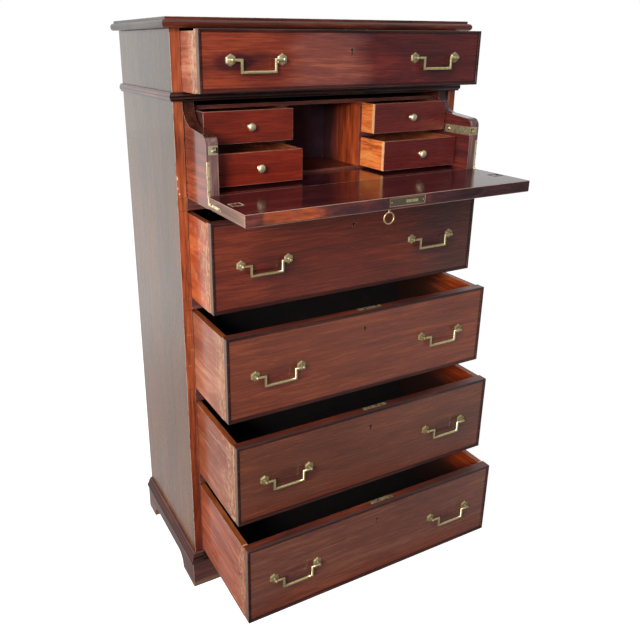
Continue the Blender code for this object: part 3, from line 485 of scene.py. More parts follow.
def mahogany(
    name,
    tones,
    grain="x",
    roughness=0.30,
    coat=0.0,
    seed=0.0,
    figure=0.5,
    bump=0.2,
    rub=0.0,
    fade=(),
    stains_and_painted_light=(),
    clouds=(),
    lines=(),
    slide=None,
    scale=1.0,
    specular=0.5,
):
    """A mahogany finish. `tones` are its dark, middle and light colours, and `grain` is the axis
    that it runs along. `figure` is the share of the broad bands, `scale` how fine all bands are,
    and `rub` how much is rubbed pale. Each item of `fade` mixes in a colour from one place on an
    axis to another, and each item of `stains_and_painted_light` multiplies the colour in the same
    way: stains and figure on some pieces, painted shade and sheen on others. Each item of
    `clouds` multiplies it over an oval: its middle and half size in X and Z, and the factors.
    Each item of `lines` multiplies it along a line across an axis. `slide` is the Y of the
    drawer's front, with the strengths of its streaks and its scuffs."""
    wood, _ = settings()
    material, tree, shader, place = new_material(name)
    shift = (seed, seed * 0.37, seed * 0.61)
    mapping = {"Vector": place, "Rotation": GRAIN_TURNS[grain], "Location": shift}
    laid = node(tree, "ShaderNodeMapping", mapping).outputs[0]
    dark, ground, light = tones
    figured = node(
        tree,
        "ShaderNodeGroup",
        {
            "Vector": laid,
            "Dark": dark,
            "Middle": ground,
            "Light": light,
            "Band Scale": wood.band_scale * scale,
            "Figure": figure,
            "Pore Depth": wood.pore_depth,
        },
        node_tree=grain_group(),
    )
    colour = figured.outputs["Color"]
    for axis, start, end, factors in stains_and_painted_light:
        step = ragged_step(tree, place, laid, axis, start, end, (5.0, 22.0, 22.0), 1.5)
        colour = mix(tree, step, colour, factors, "MULTIPLY")
    for (x, z), (half_x, half_z), factors in clouds:
        across = math_node(tree, "POWER", share_past(tree, place, "x", x, half_x), 2.0)
        up = math_node(tree, "POWER", share_past(tree, place, "z", z, half_z), 2.0)
        ragged = product(tree, noise(tree, laid, (14.0, 60.0, 60.0), 3.0, 0.6), 1.2)
        reach = total(tree, total(tree, across, up), ragged)
        colour = mix(tree, ramp(tree, reach, 2.0, 1.1), colour, factors, "MULTIPLY")
    if slide:
        front, streaks, scuffs = slide
        sliding = node(
            tree,
            "ShaderNodeGroup",
            {
                "Vector": place,
                "Color": colour,
                "Scuff": wood.scuff,
                "Streak": wood.streak,
                "Front": front,
                "Streaks": streaks,
                "Scuffs": scuffs,
            },
            node_tree=slide_wear_and_sheen_group(),
        )
        colour = sliding.outputs["Color"]
    for axis, start, end, tint, strength in fade:
        step = ragged_step(tree, place, laid, axis, start, end, (6.0, 40.0, 40.0), 1.2)
        colour = mix(tree, product(tree, step, strength), colour, tint)
    for axis, middle, half, factors in lines:
        reach = math_node(tree, "ABSOLUTE", past(tree, place, axis, middle))
        colour = mix(tree, ramp(tree, reach, half * 1.3, half * 0.7), colour, factors, "MULTIPLY")
    if rub:
        rubbed = node(
            tree,
            "ShaderNodeGroup",
            {"Vector": laid, "Color": colour, "Worn": wood.worn, "Amount": rub},
            node_tree=rub_group(),
        )
        colour = rubbed.outputs["Color"]
    connect(
        tree,
        shader,
        {
            "Base Color": colour,
            "Roughness": math_node(tree, "ADD", figured.outputs["Roughness"], roughness, clamp=True),
            "Normal": bumped(tree, figured.outputs["Height"], bump, PORE_RELIEF),
            "Specular IOR Level": specular,
            "Coat Weight": coat,
            "Coat Roughness": 0.10,
        },
    )
    return material


def times(colour, factor):
    return tuple(channel * factor for channel in colour)


def painted_shade_wood(name, colour):
    """Inside wood coloured near black as painted shade for the recess that it lies in, mottled so that it
    isn't flat.
    """
    material, tree, shader, place = new_material(name)
    cloud = ramp(tree, noise(tree, place, (30.0, 30.0, 30.0), 3.0, 0.6), 0.35, 0.7)
    mottled = mix(tree, cloud, times(colour, 0.7), times(colour, 1.35))
    connect(tree, shader, {"Base Color": mottled, "Roughness": 0.85})
    return material


def brass(
    name,
    tarnish=0.35,
    roughness=0.26,
    tint=None,
    film=None,
    fineness=1.0,
    edge=0.22,
    hollow=None,
):
    """An aged brass. `tint` and `film` are its bright and its dull colour, `fineness` and `edge`
    the size of its patches and the softness of their edges. `hollow` is the middle and the half
    size, in X and Z, of an opening coloured dark as painted shade."""
    _, metal = settings()
    material, tree, shader, place = new_material(name)
    aged = node(
        tree,
        "ShaderNodeGroup",
        {
            "Vector": place,
            "Bright": tint or metal.bright,
            "Tarnished": film or metal.tarnished,
            "Tarnish": tarnish,
            "Fineness": fineness,
            "Edge": edge,
        },
        node_tree=patina_group(),
    )
    colour = aged.outputs["Color"]
    metallic = aged.outputs["Metallic"]
    if hollow:
        (x, z), (half_x, half_z) = hollow
        across = math_node(tree, "ABSOLUTE", share_past(tree, place, "x", x, half_x))
        up = math_node(tree, "ABSOLUTE", share_past(tree, place, "z", z, half_z))
        opening = ramp(tree, math_node(tree, "MAXIMUM", across, up), 1.05, 0.95)
        # Painted shade: the opening is coloured near black and not metallic
        colour = mix(tree, opening, colour, (0.010, 0.007, 0.006))
        metallic = product(tree, metallic, difference(tree, 1.0, opening))
    connect(
        tree,
        shader,
        {
            "Base Color": colour,
            "Roughness": math_node(tree, "ADD", aged.outputs["Roughness"], roughness, clamp=True),
            "Metallic": metallic,
            "Normal": bumped(tree, aged.outputs["Height"], 0.15, BRASS_RELIEF),
        },
    )
    return material


def tones(kind, factors=(1.0, 1.0, 1.0), spread=1.0):
    """The dark, middle and light colours of a wood, with each channel times its factor.
    `spread` is how far the dark and the light stand from the middle."""
    wood, _ = settings()
    ground = getattr(wood, f"{kind}_middle")
    levels = []
    for level in ("dark", "middle", "light"):
        colour = getattr(wood, f"{kind}_{level}")
        drawn = [g + (c - g) * spread for c, g in zip(colour, ground)]
        levels.append(tuple(min(1.0, d * f) for d, f in zip(drawn, factors)))
    return tuple(levels)


def worn_arris(name, kind, seed, amount=None):
    """The finish of a rubbed corner. `amount` is how much of it is rubbed."""
    wood, _ = settings()
    wear = wood.arris_wear if amount is None else amount
    return mahogany(name, tones(kind), roughness=0.42, seed=seed, rub=wear)


# Dressing a CAD node


# Corners of a solid that are closer than this are one corner
MERGE_DISTANCE = 2e-6
# Neighbouring faces that turn by less than this are one face
FLAT_ANGLE = math.radians(0.4)
# Corners that turn by more than this are eased
CORNER_ANGLE = math.radians(50)
# The least share of a face's normal along an axis at which it faces along it
FACING_SHARE = 0.7
# How close to its box's side a face has to be to lie on it
NEAR = 0.001


def new_object(name, data):
    made = bpy.data.objects.new(name, data)
    bpy.context.scene.collection.objects.link(made)
    return made


def mesh_from(shape, name):
    """A mesh of a shape that has been built, which is then freed."""
    mesh = bpy.data.meshes.new(name)
    shape.to_mesh(mesh)
    shape.free()
    return mesh


def steady_normals(made):
    """Keep large flat faces flat beside their rounded arrises."""
    modifier = made.modifiers.new("weights", "WEIGHTED_NORMAL")
    modifier.keep_sharp = True
    modifier.weight = 90
    graph = bpy.context.evaluated_depsgraph_get()
    mesh = bpy.data.meshes.new_from_object(made.evaluated_get(graph))
    made.modifiers.clear()
    made.data = mesh


def dress(name, choose, finishes, arris=0.0, sharp=28.0, shortest=0.006, keep=None):
    """A copy of a CAD node with eased arrises. `choose` gives a face's finish from its middle,
    its normal and how far its corners are from its middle. Without it the first finish goes
    everywhere. The last finish goes on the eased arrises. An arris is left as it is where it is
    shorter than `shortest`, or where `keep` is false for its middle."""
    original = frame["nodes"][name]
    shape = bmesh.new()
    shape.from_mesh(original.data)
    bmesh.ops.remove_doubles(shape, verts=shape.verts, dist=MERGE_DISTANCE)
    bmesh.ops.dissolve_limit(
        shape,
        angle_limit=FLAT_ANGLE,
        verts=shape.verts,
        edges=shape.edges,
        delimit={"NORMAL"},
    )
    order = list(finishes)
    for face in shape.faces:
        middle = face.calc_center_median()
        spread = max((vert.co - middle).length for vert in face.verts)
        finish = choose(middle, face.normal, spread) if choose else order[0]
        face.material_index = order.index(finish)
    if arris:
        chosen = []
        for edge in shape.edges:
            if len(edge.link_faces) != 2 or edge.calc_length() < shortest:
                continue
            if edge.calc_face_angle_signed(0.0) < CORNER_ANGLE:
                continue
            if keep and not keep((edge.verts[0].co + edge.verts[1].co) / 2):
                continue
            chosen.append(edge)
        bmesh.ops.bevel(
            shape,
            geom=chosen,
            offset=arris,
            segments=2,
            profile=0.5,
            affect="EDGES",
            clamp_overlap=True,
            material=len(order) - 1,
        )
    mesh = mesh_from(shape, f"dressed_{name}")
    for finish in order:
        mesh.materials.append(finishes[finish])
    mesh.shade_smooth()
    mesh.set_sharp_from_angle(angle=math.radians(sharp))
    made = new_object(f"dressed_{name}", mesh)
    steady_normals(made)
    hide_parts(name)
    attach(made, original["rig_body"])
    return made


def facing(normal, axis, sign):
    return normal["xyz".index(axis)] * sign > FACING_SHARE


def sideways(normal):
    return abs(normal.x) > FACING_SHARE


# Half the width of a line between a rail and a side, and of the painted shade and grime in a moulding's
# hollows
RAIL_LINE = 0.0009
HOLLOW_SHADE_AND_GRIME_LINE = 0.0016


def rail_lines():
    """The joint lines that the ends of the rails make in the front edges of the sides."""
    lines = []
    for name in ("lower", "middle", "upper", "secretaire"):
        low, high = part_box(f"{name}_dustboard")
        lines += [("z", edge, RAIL_LINE, (0.66, 0.60, 0.58)) for edge in (low.z, high.z)]
    return tuple(lines)


def moulding_lines(name, shares, factors):
    """Painted shade, with some grime, along the hollows of a moulding."""
    low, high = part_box(name)
    return tuple(("z", low.z + (high.z - low.z) * share, HOLLOW_SHADE_AND_GRIME_LINE, factors) for share in shares)


# Chips and scratches on the front edge of the left side: middle, half size and colour factors
STILE_MARKS = (
    ((-0.3284, 0.9501), (0.0015, 0.0038), (1.9, 5.5, 9.0)),
    ((-0.3280, 0.9312), (0.0014, 0.0026), (1.9, 5.0, 8.0)),
    ((-0.3255, 0.9204), (0.0018, 0.0016), (1.8, 4.5, 7.0)),
    ((-0.3143, 0.7077), (0.0080, 0.0012), (1.7, 2.9, 3.6)),
    ((-0.3180, 0.6289), (0.0070, 0.0010), (1.5, 2.4, 3.0)),
    ((-0.3142, 0.5945), (0.0050, 0.0014), (1.5, 2.4, 3.0)),
    ((-0.3213, 0.5596), (0.0040, 0.0016), (1.5, 2.4, 3.0)),
)


def dress_side_panels():
    wood, _ = settings()
    for label, side in SIDES:
        name = f"{label}_side_panel"
        seed = 3.1 + side
        finishes = {
            "outside": mahogany(
                f"{label} outer side", tones("side"), grain="z", roughness=0.24, coat=0.5,
                seed=seed, figure=0.6, scale=0.7, bump=0.3,
                stains_and_painted_light=(
                    ("z", 0.75, 1.15, (0.55, 0.75, 1.0)),
                    ("z", 0.70, 0.35, (1.45, 1.20, 0.8)),
                ),
            ),
            "stile": mahogany(
                f"{label} stile", tones("stile"), grain="z", roughness=0.34, seed=seed + 1,
                # Darker towards the bottom
                scale=1.2, stains_and_painted_light=(("z", 0.52, 0.10, (0.30, 0.15, 0.10)),),
                clouds=STILE_MARKS if side < 0 else (), lines=rail_lines(),
            ),
            "rear": mahogany(
                f"{label} rear edge", tones("lining", (0.4, 0.55, 0.7)), grain="z", roughness=0.75,
                seed=seed + 2,
            ),
            "inside": painted_shade_wood(f"{label} case inside", wood.shade),
            "arris": worn_arris(f"{label} stile arris", "stile", seed, 0.6),
        }

        def choose_side(middle, normal, spread):
            if facing(normal, "x", side):
                return "outside"
            if facing(normal, "y", 1):
                return "rear"
            return "stile" if facing(normal, "y", -1) else "inside"

        dress(name, choose_side, finishes, wood.arris_width)


def side_reach():
    """How far the outer face of a side stands from the middle of the chest."""
    return abs(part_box("left_side_panel")[0].x)


def dress_top_board():
    wood, _ = settings()
    edge = side_reach()
    finishes = {
        "top": mahogany(
            "top board", tones("case", (1.5, 1.20, 1.0)), roughness=0.24, coat=0.3, seed=8.0
        ),
        "return": mahogany(
            "top board return", tones("case", (0.6, 1.7, 2.4)), grain="y", roughness=0.34,
            coat=0.15, seed=9.0,
        ),
        "arris": worn_arris("top board arris", "case", 8.0),
    }

    def choose_top(middle, normal, spread):
        return "return" if abs(middle.x) > edge and abs(normal.x) > 0.2 else "top"

    dress("top_board", choose_top, finishes, wood.arris_width)


def dress_mouldings():
    edge = side_reach()
    for name, seed, shares, coat in (
        ("waist_moulding", 11.0, (0.12, 0.50, 0.86), 0.7),
        ("base_moulding", 13.0, (0.26, 0.50, 0.76), 0.0),
    ):
        words = name.replace("_", " ")
        lines = moulding_lines(name, shares, (0.10, 0.08, 0.08))
        finishes = {
            "run": mahogany(words, tones("case"), roughness=0.26, coat=0.2, seed=seed, lines=lines),
            "return": mahogany(
                f"{words} return", tones("case", (1.9, 1.4, 1.2)), grain="y", roughness=0.42,
                coat=coat, seed=seed + 1, lines=lines,
            ),
            "arris": worn_arris(f"{words} arris", "case", seed, 0.5),
        }
        dress(
            name,
            lambda middle, normal, spread: "return" if abs(middle.x) > edge else "run",
            finishes,
            sharp=33.0,
        )


def dress_plinths():
    wood, _ = settings()
    for name, seed, inward in (
        ("front_plinth", 15.0, ("y", 1)),
        ("left_plinth", 17.0, ("x", 1)),
        ("right_plinth", 19.0, ("x", -1)),
    ):
        words = name.replace("_", " ")
        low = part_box(name)[0].z
        finishes = {
            "face": mahogany(
                words, tones("case", (1.1, 1.1, 1.1)),
                grain="x" if name.startswith("front") else "y", roughness=0.32, coat=0.1, seed=seed,
                rub=0.12, fade=(("z", low + 0.022, low, (0.20, 0.10, 0.055), 0.6),),
            ),
            "inside": painted_shade_wood(f"{words} inside", wood.shade),
            "arris": worn_arris(f"{words} arris", "case", seed, 0.7),
        }
        dress(
            name,
            lambda middle, normal, spread: "inside" if facing(normal, *inward) else "face",
            finishes,
            wood.arris_width,
        )


def dress_dustboards():
    wood, _ = settings()
    for name, seed in (
        ("lower_dustboard", 21.0),
        ("middle_dustboard", 22.0),
        ("upper_dustboard", 23.0),
        ("secretaire_dustboard", 24.0),
        ("waist_dustboard", 25.0),
    ):
        # Painted light: the waist rail, in shade under the moulding, is coloured far paler than the other
        # rails
        pale = (4.5, 4.5, 6.5) if name == "waist_dustboard" else (1.8, 2.0, 2.6)
        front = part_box(name)[0].y
        words = name.replace("_", " ")
        finishes = {
            "rail": mahogany(f"{words} rail", tones("case", pale), roughness=0.36, seed=seed),
            "bare": mahogany(
                f"{words} bare", tones("lining", (0.3, 0.4, 0.5)), grain="y", roughness=0.75,
                seed=seed,
            ),
            "arris": worn_arris(f"{words} arris", "case", seed, 0.5),
        }

        def choose_board(middle, normal, spread):
            return "rail" if facing(normal, "y", -1) and middle.y < front + 0.01 else "bare"

        dress(name, choose_board, finishes, wood.arris_width * 0.6)


def dress_back_and_floor():
    wood, _ = settings()
    finishes = {
        "bare": mahogany(
            "backboard", tones("lining", (0.5, 0.75, 0.9)), grain="z", roughness=0.8, seed=27.0,
            bump=0.5,
        ),
        "inside": painted_shade_wood("backboard inside", wood.shade),
        "arris": worn_arris("backboard arris", "lining", 27.0, 0.3),
    }
    dress(
        "back_panel",
        lambda middle, normal, spread: "inside" if facing(normal, "y", -1) else "bare",
        finishes,
        wood.arris_width,
    )
    dress("carcase_floor", None, finishes, wood.arris_width)


def dress_carcase():
    dress_side_panels()
    dress_top_board()
    dress_mouldings()
    dress_plinths()
    dress_dustboards()
    dress_back_and_floor()


# Long drawers


# The front board, the glue behind it, and how far its bead goes back
FRONT_THICKNESS = 0.0195
GLUE_GAP = 0.0003
BEAD_DEPTH = 0.0025
# How far a rose reaches round its post, half the way between two posts, and how far the posts
# are below the bail's top
ROSE_REACH = 0.0118
HALF_POST_SPACING = 0.050
POST_DROP = 0.002
# Faces further than this from a front's edges are in its keyhole
HOLE_INSET = 0.012
# How thick a drawer's side is
DRAWER_WALL = 0.0125


def drawer_plane(drawer):
    """The Y of a long drawer's front face, without its bead."""
    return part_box(f"{drawer}_box")[0].y - GLUE_GAP - FRONT_THICKNESS


def post_places(drawer):
    """Where the posts of a drawer's bails stand, as (x, z)."""
    places = []
    for label, _ in SIDES:
        low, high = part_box(f"{drawer}_{label}_bail")
        middle = (low.x + high.x) / 2
        level = high.z - POST_DROP
        places += [(middle - HALF_POST_SPACING, level), (middle + HALF_POST_SPACING, level)]
    return places


# The painted shadow under a bail: how far right of and below its posts, half its size, and its shade
BAIL_SHADOW_SHIFT = 0.012
BAIL_SHADOW_DROP = 0.016
BAIL_SHADOW_SIZE = (0.058, 0.026)
BAIL_SHADOW_SHADE = (0.74, 0.66, 0.82)


def painted_bail_shadows(posts):
    """Clouds of painted shadow in the wood under each bail."""
    clouds = []
    for left, right in (posts[:2], posts[2:]):
        middle = ((left[0] + right[0]) / 2 + BAIL_SHADOW_SHIFT, left[1] - BAIL_SHADOW_DROP)
        clouds.append((middle, BAIL_SHADOW_SIZE, BAIL_SHADOW_SHADE))
    return tuple(clouds)


# The dark line inside a front's bead, painted shade beside the bead with polish built up in it: its
# middle from the edge and half its width, first at the left and the top, then at the right and the
# bottom
THIN_LINE_INSET = 0.0055
THIN_LINE_HALF = 0.0010
WIDE_LINE_INSET = 0.0064
WIDE_LINE_HALF = 0.0018
LINE_SHADE = (0.34, 0.30, 0.36)
# How far behind the face the rim's dark edge ends, and its plain wood begins
RIM_DARK = 0.003
RIM_PLAIN = 0.005
# How far behind the face the dark lap at a front's end stops, and the side's wood begins
LAP_DARK = 0.0104
LAP_PLAIN = 0.0112


# What sets the drawers' looks apart. "front", "side" and "warm" are colour factors of the front,
# the sides and the inside of the right side, that last a lit copy of the wood in painted light,
# "spread" and "figure" the contrast and the banding of the front, "wear" the streaks and scuffs of
# the sides, "joint" the glue line behind the front
LONG_DRAWER_LOOKS = {
    "top_drawer": {
        "front": (1.26, 0.93, 0.86),
        "spread": 0.8,
        "figure": 0.60,
        "side": (0.90, 1.07, 1.30),
        "warm": (1.6, 1.2, 0.6),
        "tarnish": 0.34,
        "wear": (0.5, 0.95),
        # Painted light: greyer across the middle as painted sheen, and darker to the right as painted
        # shade, for light that falls from the left
        "stains_and_painted_light": (
            ("x", -0.15, -0.09, (1.17, 2.0, 3.0)),
            ("x", -0.01, 0.05, (0.47, 0.22, 0.28)),
        ),
        "clouds": (((-0.245, 1.158), (0.040, 0.015), (0.45, 0.42, 0.9)),),
    },
    "upper_drawer": {
        "front": (0.92, 0.68, 0.60),
        "spread": 0.65,
        "figure": 0.50,
        "side": (1.0, 0.68, 0.32),
        "warm": (1.6, 1.2, 0.6),
        "tarnish": 0.34,
        "wear": (0.45, 0.85),
        # Painted shade: darker and cooler towards the right, for light that falls from the left
        "stains_and_painted_light": (("x", 0.10, 0.24, (0.52, 1.0, 1.8)),),
    },
    "middle_drawer": {
        "front": (1.15, 1.30, 1.23),
        "spread": 0.5,
        "figure": 0.40,
        "side": (0.92, 1.20, 1.37),
        "warm": (1.7, 1.25, 0.5),
        "tarnish": 0.50,
        "wear": (0.7, 0.8),
    },
    "lower_drawer": {
        "front": (0.90, 1.27, 1.35),
        "spread": 0.5,
        "figure": 0.45,
        "side": (0.72, 0.68, 0.50),
        "warm": (0.85, 0.48, 0.2),
        "tarnish": 0.60,
        "wear": (0.85, 0.85),
        "stains_and_painted_light": (("z", 0.345, 0.30, (1.0, 0.75, 0.6)),),
    },
    "bottom_drawer": {
        "front": (1.0, 1.60, 2.0),
        "spread": 0.5,
        "figure": 0.40,
        "side": (0.84, 0.72, 0.66),
        "warm": (0.85, 0.48, 0.2),
        "tarnish": 0.60,
        "wear": (0.55, 0.60),
        "joint": (0.0028, (3.0, 8.0, 16.0)),
        "stains_and_painted_light": (("z", 0.15, 0.10, (1.0, 0.70, 0.55)),),
    },
}


def dress_long_drawers():
    for number, drawer in enumerate(LONG_DRAWERS):
        seed = 31.0 + 2.7 * number
        dress_drawer_front(drawer, LONG_DRAWER_LOOKS[drawer], seed)
        dress_drawer_box(drawer, LONG_DRAWER_LOOKS[drawer], seed)


def dress_drawer_front(drawer, looks, seed):
    wood, _ = settings()
    words = drawer.replace("_", " ")
    plane = drawer_plane(drawer)
    posts = post_places(drawer)
    low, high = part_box(f"{drawer}_front")
    finishes = {
        "face": mahogany(
            f"{words} face", tones("front", looks["front"], looks["spread"]), roughness=0.26,
            coat=0.25, seed=seed, figure=looks["figure"], stains_and_painted_light=looks.get("stains_and_painted_light", ()),
            clouds=looks.get("clouds", ()) + painted_bail_shadows(posts),
            lines=(
                ("x", low.x + THIN_LINE_INSET, THIN_LINE_HALF, LINE_SHADE),
                ("x", high.x - WIDE_LINE_INSET, WIDE_LINE_HALF, LINE_SHADE),
                ("z", low.z + WIDE_LINE_INSET, WIDE_LINE_HALF, LINE_SHADE),
                ("z", high.z - THIN_LINE_INSET, THIN_LINE_HALF, LINE_SHADE),
            ),
        ),
        "bead": mahogany(
            f"{words} bead", tones("case", (0.55, 0.48, 0.6)), roughness=0.36, seed=seed, rub=0.12
        ),
        "bead side": mahogany(
            f"{words} bead side", tones("case", (1.9, 2.7, 3.3)), grain="z", roughness=0.42,
            seed=seed, rub=0.15,
        ),
        "rim": mahogany(
            f"{words} rim", tones("front", (1.0, 0.95, 0.95)), roughness=0.38, seed=seed + 1,
            fade=(("y", plane + RIM_PLAIN, plane + RIM_DARK, (0.070, 0.045, 0.042), 0.9),),
        ),
        "end": mahogany(
            f"{words} end", tones("lining", looks["side"]), grain="y", roughness=0.42,
            seed=seed + 3, figure=0.6, slide=(plane + BEAD_DEPTH, *looks["wear"]),
            fade=(("y", plane + LAP_PLAIN, plane + LAP_DARK, (0.13, 0.086, 0.064), 0.9),),
        ),
        # Painted shade: the keyhole's walls and the back of the front are coloured near black
        "hole": painted_shade_wood(f"{words} keyhole", (0.006, 0.004, 0.004)),
        "lining": painted_shade_wood(f"{words} lining", wood.shade),
        "left roses": brass(
            f"{words} left roses", tarnish=looks["tarnish"], roughness=0.38, tint=(0.76, 0.64, 0.40)
        ),
        # The right roses are darker and duller than the left ones
        "right roses": brass(
            f"{words} right roses", tarnish=looks["tarnish"] + 0.16, roughness=0.38,
            tint=(0.62, 0.52, 0.34),
        ),
        "arris": worn_arris(f"{words} arris", "case", seed, 0.45),
    }

    def choose_front(middle, normal, spread):
        by_post = any(math.hypot(middle.x - x, middle.z - z) < ROSE_REACH for x, z in posts)
        if middle.y < plane + 0.3 * NEAR and spread < ROSE_REACH and by_post:
            return "left roses" if middle.x < 0 else "right roses"
        if facing(normal, "y", -1) and middle.y > plane + 2 * NEAR:
            return "hole"
        if middle.y < plane - 0.02 * NEAR:
            return "bead side" if abs(normal.x) > 0.9 else "bead"
        if facing(normal, "y", -1):
            return "face"
        inset = min(middle.x - low.x, high.x - middle.x, middle.z - low.z, high.z - middle.z)
        if facing(normal, "y", 1):
            return "lining"
        if inset > HOLE_INSET:
            return "hole"
        return "end" if sideways(normal) else "rim"

    dress(
        f"{drawer}_front",
        choose_front,
        finishes,
        wood.arris_width,
        shortest=0.02,
        keep=lambda place: place.y > plane + NEAR,
        sharp=33.0,
    )


# Half the width and the shade of the glue line between a box and its front
PLAIN_JOINT = (0.0009, (0.4, 0.3, 0.3))
# Painted shade: the colour that the inside of a drawer's right side falls to, deeper and lower in the
# drawer
DEEP_SHADE = (0.03, 0.010, 0.006)


def dress_drawer_box(drawer, looks, seed):
    wood, _ = settings()
    words = drawer.replace("_", " ")
    low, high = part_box(f"{drawer}_box")
    half, factors = looks.get("joint", PLAIN_JOINT)
    finishes = {
        "outside": mahogany(
            f"{words} side", tones("lining", looks["side"]), grain="y", roughness=0.36, coat=0.35,
            seed=seed + 3, figure=0.6, slide=(drawer_plane(drawer) + BEAD_DEPTH, *looks["wear"]),
        ),
        "edge": mahogany(
            f"{words} top edges", tones("stile", (0.8, 0.85, 0.6)), grain="y", roughness=0.40,
            seed=seed + 4, lines=(("y", low.y + half, half, factors),),
        ),
        "inside": painted_shade_wood(f"{words} inside", wood.shade),
        # Painted light: the inside of the right side is a lit copy of the wood, fading to painted shade
        # deeper and lower down, while the other insides are painted shade
        "warm": mahogany(
            f"{words} inner side", tones("stile", looks["warm"]), grain="y", roughness=0.50,
            seed=seed + 5,
            fade=(
                ("z", high.z - 0.02, high.z - 0.08, DEEP_SHADE, 0.95),
                ("y", low.y + 0.06, low.y + 0.17, DEEP_SHADE, 0.9),
            ),
        ),
        "arris": worn_arris(f"{words} box arris", "lining", seed, 0.5),
    }

    def choose_box(middle, normal, spread):
        if facing(normal, "z", 1) and middle.z > high.z - NEAR:
            return "edge"
        if sideways(normal) and abs(middle.x) > high.x - NEAR:
            return "outside"
        if facing(normal, "y", 1) and middle.y > high.y - NEAR:
            return "outside"
        if facing(normal, "x", -1) and middle.x > high.x - DRAWER_WALL - NEAR:
            return "warm"
        return "outside" if facing(normal, "z", -1) else "inside"

    dress(f"{drawer}_box", choose_box, finishes, wood.arris_width * 0.8)


# Secretaire drawer


def dress_arms():
    wood, _ = settings()
    near = 4 * NEAR
    for label, side in SIDES:
        name = f"{label}_secretaire_arm"
        low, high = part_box(name)
        outer = low.x if side < 0 else high.x
        finishes = {
            "outside": mahogany(
                f"{label} arm outside", tones("front", (1.2, 1.1, 1.0)), grain="y", roughness=0.22,
                coat=0.65, seed=51.0 + side,
            ),
            "inside": mahogany(
                f"{label} arm inside", tones("front", (0.82, 0.58, 0.85)), grain="y", roughness=0.3,
                coat=0.2, seed=53.0 + side,
            ),
            "top": mahogany(
                f"{label} arm top", tones("case", (0.9, 0.9, 0.9)), grain="y", roughness=0.22,
                coat=0.4, seed=55.0 + side,
            ),
            "front": mahogany(
                f"{label} arm front", tones("case", (2.7, 5.2, 7.6)), grain="z", roughness=0.34,
                coat=0.2, seed=57.0 + side, rub=0.2,
            ),
            "arris": worn_arris(f"{label} arm arris", "case", 58.0, 0.66),
        }

        def choose_arm(middle, normal, spread):
            if sideways(normal):
                return "outside" if abs(middle.x - outer) < near else "inside"
            return "front" if facing(normal, "y", -1) and middle.y < low.y + near else "top"

        dress(name, choose_arm, finishes, wood.arris_width, shortest=0.0035)


def dress_nest():
    wood, _ = settings()
    low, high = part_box("pigeonhole_nest")
    half_pigeonhole = 0.0915
    margin = 3 * NEAR
    finishes = {
        "edge": mahogany(
            "nest edges", tones("front", (1.0, 1.05, 1.6)), roughness=0.3, coat=0.2, seed=64.0
        ),
        "wall": mahogany(
            "pigeonhole walls", tones("stile", (1.6, 1.25, 1.0)), grain="z", roughness=0.40,
            seed=65.0, scale=1.2,
            # Painted shade: the walls darken from 45 to 130 mm inside the pigeonhole
            fade=(("y", low.y + 0.045, low.y + 0.13, (0.040, 0.015, 0.020), 0.95),),
        ),
        "floor": mahogany(
            "pigeonhole floor", tones("front", (0.7, 0.6, 0.6)), grain="y", roughness=0.35, seed=66.0
        ),
        # Painted shade: the compartments are coloured near black
        "dark": painted_shade_wood("compartments", times(wood.shade, 2.2)),
        "arris": worn_arris("nest arris", "front", 64.0, 0.6),
    }

    def choose_nest(middle, normal, spread):
        if facing(normal, "y", -1) or (facing(normal, "z", 1) and middle.z > high.z - NEAR):
            return "edge"
        if abs(middle.x) < half_pigeonhole and low.z + margin < middle.z < high.z - margin:
            if facing(normal, "z", 1):
                return "floor"
            return "wall" if abs(normal.x) > 0.3 else "dark"
        return "dark"

    dress("pigeonhole_nest", choose_nest, finishes, wood.arris_width * 0.7, shortest=0.0035)


def dress_fall():
    wood, _ = settings()
    low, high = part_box("fall_front")
    bead = 0.0024
    finishes = {
        "top": mahogany(
            "fall writing face", tones("front", (0.52, 0.47, 1.05)), roughness=0.14, seed=71.0,
            bump=0.05, specular=0.23,
        ),
        "front": mahogany(
            "fall free edge", tones("front", (0.72, 0.85, 1.5)), roughness=0.32, seed=72.0,
            figure=0.75, scale=4.5,
            stains_and_painted_light=(
                ("x", low.x + 0.17, low.x + 0.12, (3.3, 2.6, 0.9)),
                ("x", low.x + 0.042, low.x + 0.030, (0.36, 0.42, 1.1)),
                ("x", low.x + 0.34, low.x + 0.40, (0.36, 0.45, 0.62)),
            ),
        ),
        "end": mahogany(
            "fall ends", tones("lining", (0.62, 1.30, 1.85), 1.5), grain="y", roughness=0.42,
            coat=0.2, seed=73.0, figure=0.3, rub=0.12,
        ),
        "under": mahogany(
            "fall outer face", tones("front"), roughness=0.26, coat=0.25, seed=74.0
        ),
        "bead": mahogany(
            "fall bead", tones("case", (1.0, 1.5, 2.2)), roughness=0.3, coat=0.3, seed=75.0, rub=0.25
        ),
        "arris": worn_arris("fall arris", "front", 71.0, 0.72),
    }

    def choose_fall(middle, normal, spread):
        if facing(normal, "z", 1):
            return "top"
        if middle.z < low.z + bead:
            return "bead"
        if sideways(normal):
            return "end"
        return "under" if facing(normal, "z", -1) else "front"

    dress(
        "fall_front",
        choose_fall,
        finishes,
        wood.arris_width,
        shortest=0.01,
        keep=lambda place: place.y < high.y - 0.03,
    )


